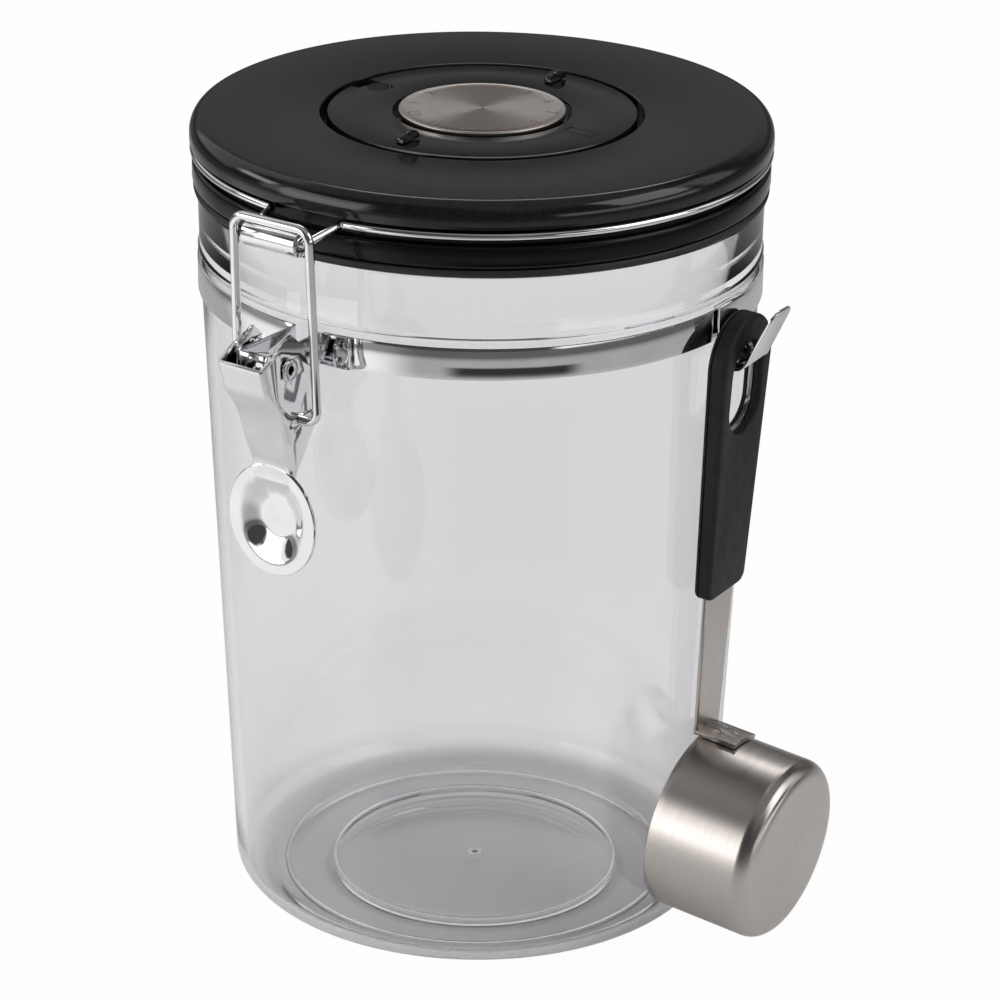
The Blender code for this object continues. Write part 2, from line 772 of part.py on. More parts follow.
def build_bail(surfaces):
    """The wire round the lid, with a bay at the front for the keeper and one at the back for the hinge."""
    keeper_y = out_at(KEEPER_OUT)
    keeper_z = up_at(KEEPER_UP)
    front_turn = math.degrees(math.asin(FRONT_EXIT_HALF / WIRE_RING_RADIUS))
    rear_turn = math.degrees(math.asin(REAR_EXIT_HALF / WIRE_RING_RADIUS))
    ring = arc((0, 0), WIRE_RING_RADIUS, -90 + front_turn, 90 - rear_turn, WIRE_ARC_STEPS)
    right = [Vector((x, y, WIRE_HEIGHT)) for x, y in ring]
    hinge_y = BAND_FACE + HINGE_OUT
    rear = [
        right[-1],
        Vector((REAR_LEG_HALF, hinge_y, HINGE_LEG_TOP)),
        Vector((REAR_LEG_HALF, hinge_y, HINGE_HEIGHT)),
        Vector((-REAR_LEG_HALF, hinge_y, HINGE_HEIGHT)),
        Vector((-REAR_LEG_HALF, hinge_y, HINGE_LEG_TOP)),
        Vector((-right[-1].x, right[-1].y, WIRE_HEIGHT)),
    ]
    front = [
        Vector((-right[0].x, right[0].y, WIRE_HEIGHT)),
        Vector((-FRONT_LEG_HALF, keeper_y, keeper_z)),
        Vector((FRONT_LEG_HALF, keeper_y, keeper_z)),
        right[0],
    ]
    left = [Vector((-p.x, p.y, p.z)) for p in right[::-1]]
    route = right[1:-1]
    route += filleted([right[-2]] + rear + [left[1]], REAR_BEND)[1:-1]
    route += left[1:-1]
    route += filleted([left[-2]] + front + [right[1]], FRONT_BEND)[1:-1]
    origin = Vector((0, hinge_y, HINGE_HEIGHT))
    bail = wire("lid_wire", [p - origin for p in route], WIRE_RADIUS, surfaces["chrome"], closed=True)
    bail.location = origin


def build_keeper(surfaces):
    """The curled keeper over the bail's front bar, open towards the lid."""
    centre = (out_at(KEEPER_OUT), up_at(KEEPER_UP))
    inner = WIRE_RADIUS + GAP
    outer = arc(centre, KEEPER_RADIUS, KEEPER_MOUTH_DEG, 360 - KEEPER_MOUTH_DEG, 16)
    hollow = arc(centre, inner, 360 - KEEPER_MOUTH_DEG, KEEPER_MOUTH_DEG, 12)
    prism("keeper_sleeve", outer + hollow, "x", -KEEPER_HALF_LENGTH, KEEPER_HALF_LENGTH, surfaces["chrome"])


def build_hinge_bracket(surfaces):
    """A strip on the back of the band that curls round the bail's rear bar."""
    centre = Vector((BAND_FACE + HINGE_OUT, HINGE_HEIGHT))
    curl = WIRE_RADIUS + RUN_GAP + BRACKET_SHEET / 2
    foot = BAND_FACE + GAP + BRACKET_SHEET / 2
    knee = Vector((foot, BRACKET_KNEE))
    reach = centre - knee
    touch = math.atan2(reach.y, reach.x) + math.pi - math.acos(curl / reach.length)
    start_deg = math.degrees(touch)
    curled = arc(centre, curl, start_deg, start_deg - KNUCKLE_TURN_DEG, 18)
    outline = offset_outline([(foot, BAND_BOTTOM), tuple(knee)] + curled, BRACKET_SHEET / 2)
    prism("hinge_bracket", outline, "x", -BRACKET_HALF, BRACKET_HALF, surfaces["chrome"])


def build_lid_shells(surfaces):
    """The cover on top and the tray under it, with the wire groove between them."""
    skirt_inner = GROOVE_RADIUS + GAP
    plate_bottom = LID_TOP - LID_WALL
    rim_top = LID_RIM_BOTTOM + LID_RIM_FACE
    shoulder = []
    for i in range(1, 7):
        turn = math.radians(90 * i / 6)
        shoulder.append(
            (
                LID_FLAT_RADIUS + (LID_RADIUS - LID_FLAT_RADIUS) * math.cos(turn),
                rim_top + (LID_TOP - rim_top) * math.sin(turn),
            )
        )
    well_bottom = WELL_FLOOR_TOP - WELL_FLOOR
    cover = [
        (skirt_inner, LID_RIM_BOTTOM),
        (LID_RADIUS - RIM_ROUND, LID_RIM_BOTTOM),
        (LID_RADIUS, LID_RIM_BOTTOM + RIM_ROUND),
        (LID_RADIUS, rim_top),
        *shoulder,
        (WELL_RADIUS + RIM_ROUND, LID_TOP),
        (WELL_RADIUS, LID_TOP - RIM_ROUND),
        (WELL_RADIUS, WELL_FLOOR_TOP),
        (WELL_BORE, WELL_FLOOR_TOP),
        (WELL_BORE, well_bottom),
        (WELL_RADIUS + LID_WALL, well_bottom),
        (WELL_RADIUS + LID_WALL, plate_bottom),
        (skirt_inner, plate_bottom),
    ]
    turned("lid_cover", cover, surfaces["gloss_black"])
    collar_bottom = JAR_HEIGHT + GAP + GASKET_LIP + GAP
    plug_radius = NECK_RADIUS - JAR_WALL - GAP - GASKET_SLEEVE - GAP
    plug_bottom = collar_bottom - GASKET_LIP - GAP - PLUG_DEPTH
    tray_top = collar_bottom + TRAY_FLOOR
    tray = [
        (VENT_RADIUS, collar_bottom),
        (plug_radius - PLUG_WALL, collar_bottom),
        (plug_radius - PLUG_WALL, plug_bottom),
        (plug_radius, plug_bottom),
        (plug_radius, collar_bottom),
        (COLLAR_RADIUS - COLLAR_UNDERCUT, collar_bottom),
        (COLLAR_RADIUS, collar_bottom + COLLAR_UNDERCUT),
        (COLLAR_RADIUS, COLLAR_TOP - COLLAR_SLOPE),
        (COLLAR_RADIUS - COLLAR_SLOPE, COLLAR_TOP),
        (GROOVE_RADIUS, COLLAR_TOP),
        (GROOVE_RADIUS, plate_bottom - GAP),
        (GROOVE_RADIUS - GROOVE_WALL, plate_bottom - GAP),
        (GROOVE_RADIUS - GROOVE_WALL, tray_top),
        (VENT_RADIUS, tray_top),
    ]
    turned("lid_tray", tray, surfaces["gloss_black"])
    lip_bottom = JAR_HEIGHT + GAP
    sleeve_inner = plug_radius + GAP
    gasket = [
        (sleeve_inner, plug_bottom),
        (sleeve_inner + GASKET_SLEEVE, plug_bottom),
        (sleeve_inner + GASKET_SLEEVE, lip_bottom),
        (GASKET_RADIUS, lip_bottom),
        (GASKET_RADIUS, lip_bottom + GASKET_LIP),
        (sleeve_inner, lip_bottom + GASKET_LIP),
    ]
    turned("lid_gasket", gasket, surfaces["rubber"])
    return tray_top


# Stations of a stud from its flat face backwards: place, half width and height
STUD_STATION_SHARES = ((0.5, 1.0, 1.0), (-0.10, 0.97, 0.95), (-0.36, 0.90, 0.78), (-0.5, 0.80, 0.57))


def build_stud(label, place, surface):
    """A half-round stud with a flat face towards +X and a shank through the cover."""
    foot = LID_TOP + GAP
    sections = []
    for along, wide, tall in STUD_STATION_SHARES:
        crown = arc((0, 0), 1, 0, 180, 12)
        half = STUD_HALF * wide
        height = STUD_HEIGHT * tall
        sections.append([(STUD_THICKNESS * along, y * half, foot + z * height) for y, z in crown])
    stud = loft(f"cover_stud_{label}", sections, surface)
    low = LID_TOP - COVER_PLATE
    join(stud, rod(f"stud_shank_{label}", "z", (0, place), STUD_SHANK, low, foot + BITE, surface, 16))
    stud.location = (0, place, 0)


def build_valve_cover(surfaces):
    """The round cover in the lid's well: a finger notch, the dial's well and two half-round studs."""
    skirt_bottom = WELL_FLOOR_TOP + GAP
    well_floor_top = LID_TOP - DIAL_WELL_DEPTH
    well_floor_bottom = well_floor_top - DIAL_WELL_FLOOR
    profile = [
        (STEM_RADIUS + GAP, well_floor_bottom),
        (DIAL_WELL_RADIUS + COVER_SKIRT, well_floor_bottom),
        (DIAL_WELL_RADIUS + COVER_SKIRT, LID_TOP - COVER_PLATE),
        (COVER_RADIUS - COVER_SKIRT, LID_TOP - COVER_PLATE),
        (COVER_RADIUS - COVER_SKIRT, skirt_bottom),
        (COVER_RADIUS, skirt_bottom),
        (COVER_RADIUS, LID_TOP - RIM_ROUND),
        (COVER_RADIUS - RIM_ROUND, LID_TOP),
        (DIAL_WELL_RADIUS + RIM_ROUND, LID_TOP),
        (DIAL_WELL_RADIUS, LID_TOP - RIM_ROUND),
        (DIAL_WELL_RADIUS, well_floor_top),
        (STEM_RADIUS + GAP, well_floor_top),
    ]
    cover = turned("valve_cover", profile, surfaces["gloss_black"])
    end = -(COVER_RADIUS - NOTCH_LENGTH)
    edge = -(COVER_RADIUS + OVERRUN)
    outline = arc((end, 0), NOTCH_RADIUS, -90, 90, 9) + [(edge, NOTCH_RADIUS), (edge, -NOTCH_RADIUS)]
    low = LID_TOP - NOTCH_DEPTH
    notch = prism("finger_notch_cutter", outline, "z", low, LID_TOP + OVERRUN, surfaces["gloss_black"])
    cut(cover, notch)
    for side, label in ((-1, "front"), (1, "rear")):
        centre = (0, side * STUD_PLACE)
        hole = rod(
            f"stud_hole_cutter_{label}",
            "z",
            centre,
            STUD_SHANK + GAP,
            LID_TOP - COVER_PLATE - OVERRUN,
            LID_TOP + OVERRUN,
            surfaces["gloss_black"],
        )
        cut(cover, hole)
        build_stud(label, side * STUD_PLACE, surfaces["gloss_black"])
    return well_floor_top, well_floor_bottom


def build_dial(surfaces, floor_top, floor_bottom):
    """The steel date dial on its plastic hub, held under the cover by a clip."""
    dial_bottom = DIAL_TOP - DIAL_THICKNESS
    face = DIAL_TOP - DIAL_RIM * 0.3
    dial = [
        (0, dial_bottom),
        (DIAL_RADIUS, dial_bottom),
        (DIAL_RADIUS, DIAL_TOP - DIAL_RIM),
        (DIAL_RADIUS - DIAL_RIM, DIAL_TOP),
        (DIAL_RADIUS - 2 * DIAL_RIM, face),
        (0, face),
    ]
    turned("date_dial", dial, surfaces["steel"])
    hub_bottom = floor_top + RUN_GAP
    head_top = floor_bottom - GAP - CLIP_THICKNESS - GAP
    hub = [
        (0, head_top - STEM_HEAD),
        (STEM_HEAD_RADIUS, head_top - STEM_HEAD),
        (STEM_HEAD_RADIUS, head_top),
        (STEM_RADIUS, head_top),
        (STEM_RADIUS, hub_bottom),
        (HUB_RADIUS, hub_bottom),
        (HUB_RADIUS, dial_bottom - GAP),
        (0, dial_bottom - GAP),
    ]
    turned("dial_hub", hub, surfaces["matte_black"], 40)
    clip_top = floor_bottom - GAP
    clip = washer(STEM_RADIUS + GAP, CLIP_RADIUS, clip_top - CLIP_THICKNESS, clip_top)
    turned("dial_clip", clip, surfaces["steel"], SMALL_STEPS)


def build_valve(surfaces, tray_top):
    """The one-way valve on the tray floor: seat, flap, cap with windows, and the filter below the cap."""
    seat_bottom = tray_top + GAP
    seat_top = seat_bottom + SEAT_THICKNESS
    wall_top = seat_top + SEAT_WALL_HEIGHT
    seat = [
        (VENT_RADIUS, seat_bottom),
        (SEAT_RADIUS, seat_bottom),
        (SEAT_RADIUS, wall_top),
        (SEAT_RADIUS - SEAT_WALL, wall_top),
        (SEAT_RADIUS - SEAT_WALL, seat_top),
        (VENT_RADIUS, seat_top),
    ]
    turned("valve_seat", seat, surfaces["matte_black"], 40)
    flap_bottom = seat_top + GAP
    flap_top = flap_bottom + FLAP_THICKNESS
    turned("valve_flap", disc(FLAP_RADIUS, flap_bottom, flap_top), surfaces["flap"], SMALL_STEPS)
    cap_radius = SEAT_RADIUS - SEAT_WALL - GAP
    cap_bottom = flap_top + FLAP_LIFT + GAP
    cap = [
        (0, cap_bottom),
        (FLAP_RADIUS + GAP, cap_bottom),
        (FLAP_RADIUS + GAP, seat_top + GAP),
        (cap_radius, seat_top + GAP),
        (cap_radius, cap_bottom + CAP_PLATE),
        (0, cap_bottom + CAP_PLATE),
    ]
    made = turned("valve_cap", cap, surfaces["matte_black"], 40)
    low = cap_bottom - OVERRUN
    high = cap_bottom + CAP_PLATE + OVERRUN
    for i in range(CAP_WINDOWS):
        turn = 2 * math.pi * (i + CAP_WINDOW_PHASE_SHARE) / CAP_WINDOWS
        centre = (CAP_WINDOW_RING * math.cos(turn), CAP_WINDOW_RING * math.sin(turn))
        window = rod(f"window_cutter_{i}", "z", centre, CAP_WINDOW_RADIUS, low, high, surfaces["rubber"], 12)
        cut(made, window)
    filter_bottom = cap_bottom + CAP_PLATE + GAP
    felt = disc(cap_radius, filter_bottom, filter_bottom + FILTER_THICKNESS)
    turned("filter_disc", felt, surfaces["felt"], SMALL_STEPS)


# Stations along the hook's arm: place, and half width as a share of the tip's
HOOK_TIP_SHARES = ((0.76, 1.0), (0.93, 0.84), (1.0, 0.45))


def build_hook(surfaces):
    """A strip folded over the band's top edge, which turns up again as the scoop's hook."""
    face = GAP + HOOK_SHEET / 2
    top = GAP + HOOK_SHEET / 2
    lean = math.radians(HOOK_ARM_LEAN_DEG)
    centre = (face + HOOK_BEND, HOOK_BEND_UP)
    bend = arc(centre, HOOK_BEND, 180, 360 - HOOK_ARM_LEAN_DEG, 8)
    tip = (bend[-1][0] + HOOK_ARM_LENGTH * math.sin(lean), bend[-1][1] + HOOK_ARM_LENGTH * math.cos(lean))
    arm = []
    for share, _ in HOOK_TIP_SHARES:
        arm.append(tuple(a + (b - a) * share for a, b in zip(bend[-1], tip)))
    flat = [(-HOOK_OVERLAP, top), (face - HOOK_SHEET / 3, top), (face, top - HOOK_SHEET / 3)]
    route = flat + bend + arm
    halves = [HOOK_HALF] * 3 + [HOOK_HALF]
    narrowing = len(bend) - 1
    for i in range(1, narrowing + 1):
        halves.append(HOOK_HALF + (HOOK_ARM_HALF - HOOK_HALF) * i / narrowing)
    halves += [HOOK_TIP_HALF * wide for _, wide in HOOK_TIP_SHARES]
    placed = [(out_at(out), up_at(up)) for out, up in route]
    hook = ribbon("scoop_hook", placed, halves, HOOK_SHEET, surfaces["chrome"])
    hook.rotation_euler.z = math.radians(HOOK_ANGLE_DEG)


def place_scoop(obj):
    """Hangs a piece of the scoop from the hook, tilted to lie along the jar's wall."""
    back = GAP + HOOK_SHEET + GAP
    aside = back - (GAP + HOOK_SHEET / 2 + HOOK_BEND)
    hook_inside = HOOK_BEND - HOOK_SHEET / 2
    floor = HOOK_BEND_UP - math.sqrt(hook_inside**2 - aside**2)
    arch = HOLE_HALF - math.sqrt(HOLE_HALF**2 - HOOK_HALF**2)
    turn = Matrix.Rotation(math.radians(HOOK_ANGLE_DEG), 4, "Z")
    obj.location = turn @ Vector((0, out_at(back), up_at(floor + arch + GAP)))
    tilt = math.atan(jar_slope()) + math.radians(SCOOP_LEAN_IN_DEG)
    obj.rotation_euler = (tilt, 0, math.radians(HOOK_ANGLE_DEG))


def handle_outline(inset):
    """The handle's outline: a round top that tapers to a squarer end."""
    top_half = HANDLE_TOP_HALF - inset
    bottom_half = HANDLE_BOTTOM_HALF - inset
    bottom = HANDLE_BOTTOM + inset
    crown = HANDLE_TOP - inset - top_half
    corner = max(HANDLE_BOTTOM_ROUND - inset, inset)
    points = arc((0, crown), top_half, 0, 180, 12)
    points += arc((-bottom_half + corner, bottom + corner), corner, 180, 270, 3)
    points += arc((bottom_half - corner, bottom + corner), corner, 270, 360, 3)
    return points


def handle_hole(name, inset, low, high, surface):
    half = HOLE_HALF + inset
    top = inset
    bottom = -HOLE_HEIGHT - inset
    points = arc((0, top - half), half, 0, 180, 10)
    points += arc((0, bottom + half), half, 180, 360, 10)
    return prism(name, [(x, z) for x, z in points], "y", low, high, surface)


def shell_prism(name, back, front, round_front, surface, thinning=0):
    """A handle shell between two depths, its outer edge rounded on one face. It thins towards the bottom."""
    flat = back if round_front else front
    crown = front if round_front else back
    toward = 1 if round_front else -1
    stations = [(flat, 0), (crown - toward * SHELL_EDGE_ROUND, 0)]
    near_crown = SHELL_EDGE_ROUND * 0.35
    stations += [(crown - toward * near_crown, near_crown), (crown, SHELL_EDGE_ROUND)]
    sections = []
    for depth, inset in stations:
        slope = 0 if depth == flat else thinning / (HANDLE_TOP - HANDLE_BOTTOM)
        sections.append([(x, slope * (HANDLE_TOP - z) - depth, z) for x, z in handle_outline(inset)])
    return loft(name, sections, surface)


def build_scoop(surfaces):
    steel = surfaces["steel"]
    others = set(bpy.data.objects)
    core_back = BACK_SHELL + GAP
    core_front = core_back + CORE_SHEET
    front_back = core_front + GAP
    front_face = front_back + FRONT_SHELL
    reach = front_face + OVERRUN
    black = surfaces["matte_black"]
    back = shell_prism("handle_back_shell", 0, BACK_SHELL, False, black)
    thinning = FRONT_SHELL - FRONT_SHELL_LOW
    front = shell_prism("handle_front_shell", core_back, front_face, True, black, thinning)
    nest = handle_outline(CORE_INSET - GAP)
    cut(front, prism("core_nest_cutter", nest, "y", -front_back, OVERRUN - core_back, black))
    low = HANDLE_BOTTOM - OVERRUN
    high = HANDLE_BOTTOM + HANDLE_BOTTOM_ROUND
    half = STRIP_TOP_HALF + GAP
    slot = [(half, low), (half, high), (-half, high), (-half, low)]
    cut(front, prism("strip_slot_cutter", slot, "y", -front_back, OVERRUN - core_back, black))
    for shell in (back, front):
        cut(shell, handle_hole(f"hole_cutter_{shell.name}", 0, -reach, OVERRUN, black))
    core = prism("scoop_arm", handle_outline(CORE_INSET), "y", -core_front, -core_back, steel)
    cut(core, handle_hole("hole_cutter_core", 0, -reach, OVERRUN, steel))
    droop = math.radians(CUP_DROOP_DEG)
    in_place = Matrix.Translation((-CUP_ASIDE, -core_back, -CUP_DROP)) @ Matrix.Rotation(droop, 4, "X")
    low_radius = CUP_RADIUS + GAP
    high_radius = low_radius + CORE_SHEET
    mid_radius = (low_radius + high_radius) / 2
    spread = math.degrees(math.asin(STRIP_BOTTOM_HALF / CUP_RADIUS))
    middle = 90 - math.degrees(math.asin(CUP_ASIDE / mid_radius))
    strip_outline = [(STRIP_TOP_HALF, high), (-STRIP_TOP_HALF, high)]
    strip_outline += arc((-CUP_ASIDE, -CUP_DROP), mid_radius, middle + spread, middle - spread, 6)
    join(core, prism("strip_shape", strip_outline, "y", -core_front, -core_back, steel))
    outline = arc((0, 0), high_radius, middle - spread, middle + spread, 6)
    outline += arc((0, 0), low_radius, middle + spread, middle - spread, 6)
    tab_back = high_radius * math.sin(droop)
    tab = prism("tab_shape", outline, "y", -TAB_STRIP_LENGTH, tab_back, steel)
    dimple_shares = ((0.35, 0.40), (0.35, -0.40), (0.75, 0.10))
    foot = high_radius - BITE
    crown = high_radius + DIMPLE_RISE
    dimple_profile = [
        (0, foot),
        (DIMPLE_RADIUS, foot),
        (DIMPLE_RADIUS, high_radius + DIMPLE_RISE * 0.4),
        (DIMPLE_RADIUS * 0.5, crown),
        (0, crown),
    ]
    for i, (along, aside) in enumerate(dimple_shares):
        shape = turned(f"dimple_shape_{i}", dimple_profile, steel, 10)
        aside_turn = math.radians(90 - middle + aside * spread)
        shape.data.transform(Matrix.Rotation(aside_turn, 4, "Y"))
        shape.data.transform(in_place @ Matrix.Translation((0, -along * TAB_STRIP_LENGTH, 0)))
        join(core, shape)
    tab.data.transform(in_place)
    join(core, tab)
    inner = CUP_RADIUS - CUP_WALL
    fillet = arc((CUP_RADIUS - CUP_FILLET, CUP_LENGTH - CUP_FILLET), CUP_FILLET, 0, 90, 5)
    inner_fillet = arc(
        (CUP_RADIUS - CUP_FILLET, CUP_LENGTH - CUP_FILLET), CUP_FILLET - CUP_WALL, 90, 0, 5
    )
    profile = [(inner, 0), (CUP_RADIUS, 0)] + fillet
    profile += [(0, CUP_LENGTH), (0, CUP_LENGTH - CUP_WALL)] + inner_fillet
    cup = turned("scoop_cup", profile, steel, 40)
    cup.data.transform(in_place @ Matrix.Rotation(math.radians(90), 4, "X"))
    for piece in set(bpy.data.objects) - others:
        place_scoop(piece)


def main():
    clear_scene()
    surfaces = make_materials()
    build_jar(surfaces)
    build_band(surfaces)
    build_rivet(surfaces)
    build_lever(surfaces)
    build_loop(surfaces)
    build_bail(surfaces)
    build_keeper(surfaces)
    build_hinge_bracket(surfaces)
    tray_top = build_lid_shells(surfaces)
    floor_top, floor_bottom = build_valve_cover(surfaces)
    build_dial(surfaces, floor_top, floor_bottom)
    build_valve(surfaces, tray_top)
    build_hook(surfaces)
    build_scoop(surfaces)


main()
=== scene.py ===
"""Looks for the clamp lid canister: a clear tapered jar, a glossy black lid with a date dial, chromed
wire latch and band, and a steel scoop that hangs on its hook."""

import math

import bmesh
import bpy
from mathutils import Matrix, Vector


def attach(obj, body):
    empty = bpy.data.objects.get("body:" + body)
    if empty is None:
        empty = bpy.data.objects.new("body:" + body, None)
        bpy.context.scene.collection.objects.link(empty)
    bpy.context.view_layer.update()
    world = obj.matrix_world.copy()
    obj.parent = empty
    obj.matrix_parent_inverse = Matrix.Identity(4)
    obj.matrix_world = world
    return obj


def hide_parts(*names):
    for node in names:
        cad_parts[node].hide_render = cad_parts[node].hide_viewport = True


bl_info = {
    "name": "Clamp lid canister",
    "version": (1, 0, 0),
    "blender": (4, 5, 0),
    "location": "View3D > Sidebar > Canister",
    "description": "Dresses the packed canister with finished pieces, materials and a studio",
    "category": "Object",
}

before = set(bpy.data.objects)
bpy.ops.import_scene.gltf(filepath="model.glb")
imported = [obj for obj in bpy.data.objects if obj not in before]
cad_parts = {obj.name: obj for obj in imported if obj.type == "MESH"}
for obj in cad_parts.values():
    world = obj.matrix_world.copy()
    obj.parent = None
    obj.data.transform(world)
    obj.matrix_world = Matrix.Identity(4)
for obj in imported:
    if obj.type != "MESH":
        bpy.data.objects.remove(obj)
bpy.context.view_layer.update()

FloatProperty = bpy.props.FloatProperty

# Lengths that the CAD model fixes, in metres
GAP = 0.0003
RIM_TOP = 0.1765
BAND_TOP = 0.1602
BAND_FACE = 0.0656
WIRE_HEIGHT = 0.1862
LID_TOP = 0.1939
HOOK_ANGLE = math.radians(93.4)
LEVER_HALF = 0.0062
LEVER_SHEET = 0.0008
HEEL_RADIUS = 0.0588
HEEL_ROUND = 0.0047
HEEL_TOP = 0.0077
NECK_RADIUS = 0.0647
NECK_FOOT = 0.1510
BAND_LAP = 0.0084
BAND_FOLD = 0.00345
HINGE_OUT = 0.0059
HINGE_HEIGHT = 0.1752
HOOK_SHEET = 0.0006
HOOK_HALF = 0.0058
HOOK_BEND = 0.0037
HOOK_BEND_HEIGHT = -0.0097
HANDLE_HOLE_HALF = 0.0070
WELL_DEPTH = 0.0056
COVER_SHEET = 0.0020
COVER_RADIUS = 0.0355
DISH_DEPTH = 0.0023
SEAL_LIP = 0.0016
PLUG_DEPTH = 0.0035
STUD_PLACE = 0.0290
RIVET_BORE = 0.00165
EAR_REACH = 0.008
ARM_SHEET = 0.0011
CUP_RADIUS = 0.0220
CUP_LENGTH = 0.02745
CUP_ROUND = 0.0045


def size(label, description, default):
    return FloatProperty(name=label, description=description, default=default, unit="LENGTH", precision=5)


def colour(label, description, default):
    return bpy.props.FloatVectorProperty(name=label, description=description, default=default,
                                         subtype="COLOR", min=0, max=1)


def angle(label, description, default):
    return FloatProperty(name=label, description=description, default=default, subtype="ANGLE")


def amount(label, description, default):
    return FloatProperty(name=label, description=description, default=default, min=0)


class CanisterSizes(bpy.types.PropertyGroup):
    """Sizes of the pieces that can be varied inside the CAD model's box."""

    jar_wall: size("Jar wall", "Thickness of the jar's wall", 0.0025)
    edge_round: size("Sheet edge", "Rounding along the edges of sheet metal", 0.00012)
    loop_wire: size("Loop wire", "Radius of the latch loop's wire", 0.00105)
    lid_wire: size("Lid wire", "Radius of the wire round the lid", 0.00095)
    numeral_height: size("Numeral height", "Height of the dial's numerals", 0.0029)
    numeral_ring: size("Numeral ring", "Radius at which the dial's numerals stand", 0.0160)
    handle_edge: size("Handle edge", "Rounding of the scoop handle's outer edge", 0.0011)


class CanisterFinish(bpy.types.PropertyGroup):
    """Colours of the finishes."""

    clear: colour("Clear plastic", "Tint of the jar's plastic", (0.835, 0.835, 0.845))
    gloss_black: colour("Gloss black", "Colour of the lid", (0.0055, 0.0055, 0.006))
    matte_black: colour("Matte black", "Colour of the scoop's handle", (0.012, 0.012, 0.0125))
    chrome: colour("Chrome", "Colour of the plated steel", (0.80, 0.80, 0.81))
    steel: colour("Brushed steel", "Colour of the scoop and the dial", (0.56, 0.52, 0.49))
    numeral: colour("Numerals", "Colour of the dial's etched numerals", (0.23, 0.13, 0.08))


class CanisterStudio(bpy.types.PropertyGroup):
    """The camera's place and the lights."""

    camera_angle: angle("Camera angle", "Turn of the camera from the latch towards the scoop",
                        math.radians(35.3))
    camera_distance: size("Camera distance", "Level distance from the jar's axis", 0.8399)
    camera_height: size("Camera height", "Height above the floor", 0.45537)
    camera_pan: angle("Pan", "Turn to the right of the jar's axis", 0.006163188)
    camera_pitch: angle("Pitch", "Tilt below the level", 0.403369608)
    camera_roll: angle("Roll", "Turn about the line of sight", 0.012699403)
    camera_lens: amount("Lens", "Focal length on a sensor 36 mm wide", 137.7385)
    key_power: amount("Key light", "Power of the large lamp on the left", 2.6)
    fill_power: amount("Fill light", "Power of the lamp on the right", 2.5)


def link_object(name, data):
    obj = bpy.data.objects.new(name, data)
    bpy.context.scene.collection.objects.link(obj)
    return obj


def shade(obj, sharp_deg):
    """Shades an object smoothly up to an angle between its faces."""
    obj.data.shade_smooth()
    obj.data.set_sharp_from_angle(angle=math.radians(sharp_deg))
    return obj


def face_outward(mesh):
    shape = bmesh.new()
    shape.from_mesh(mesh)
    bmesh.ops.recalc_face_normals(shape, faces=shape.faces)
    shape.to_mesh(mesh)
    shape.free()


def solid_from(name, points, faces, sharp_deg=35):
    mesh = bpy.data.meshes.new(name)
    mesh.from_pydata([tuple(p) for p in points], [], faces)
    face_outward(mesh)
    return shade(link_object(name, mesh), sharp_deg)


def between(a, b):
    """Quads between two rings of points."""
    count = len(a)
    return [[a[i], a[(i + 1) % count], b[(i + 1) % count], b[i]] for i in range(count)]


def arc(centre, radius, start_deg, end_deg, steps):
    found = []
    for i in range(steps + 1):
        turn = math.radians(start_deg + (end_deg - start_deg) * i / steps)
        found.append((centre[0] + radius * math.cos(turn), centre[1] + radius * math.sin(turn)))
    return found


def softened(profile, radius):
    """A closed profile whose sharp corners are rounded. The points on the axis stay as they are."""
    steps = 4
    made = []
    for i, (r, z) in enumerate(profile):
        corner = Vector((r, z))
        before = Vector(profile[i - 1]) - corner
        after = Vector(profile[(i + 1) % len(profile)]) - corner
        reach_limit = 0.45 * min(before.length, after.length)
        if r < 1e-6 or reach_limit < 1e-6 or before.angle(after) > math.radians(155):
            made.append((r, z))
            continue
        reach = min(radius / math.tan(before.angle(after) / 2), reach_limit)
        first = corner + before.normalized() * reach
        last = corner + after.normalized() * reach
        for t in (k / steps for k in range(steps + 1)):
            made.append(tuple((1 - t) ** 2 * first + 2 * t * (1 - t) * corner + t**2 * last))
    return made


def lathe(name, profile, steps=160, sharp_deg=35):
    """A closed profile of (radius, height) points spun about Z, with a UV map: U round the axis and V along
    the profile."""
    points = []
    rings = []
    for radius, height in profile:
        if radius < 1e-7:
            rings.append([len(points)] * steps)
            points.append((0, 0, height))
            continue
        rings.append(list(range(len(points), len(points) + steps)))
        for turn in (2 * math.pi * i / steps for i in range(steps)):
            points.append((radius * math.cos(turn), radius * math.sin(turn), height))
    lengths = [0.0]
    for a, b in zip(profile, profile[1:] + profile[:1]):
        lengths.append(lengths[-1] + math.dist(a, b))
    faces = []
    uvs = []
    for k, (ring, above) in enumerate(zip(rings, rings[1:] + rings[:1])):
        for i in range(steps):
            j = (i + 1) % steps
            face = {}
            quad = ((ring[i], i, k), (ring[j], i + 1, k), (above[j], i + 1, k + 1), (above[i], i, k + 1))
            for corner, u, v in quad:
                face.setdefault(corner, (u / steps, lengths[v] * 10))
            if len(face) > 2:
                faces.append(list(face))
                uvs += face.values()
    mesh = bpy.data.meshes.new(name)
    mesh.from_pydata(points, [], faces)
    layer = mesh.uv_layers.new(name="turn")
    for loop, place in zip(layer.data, uvs):
        loop.uv = place
    face_outward(mesh)
    return shade(link_object(name, mesh), sharp_deg)


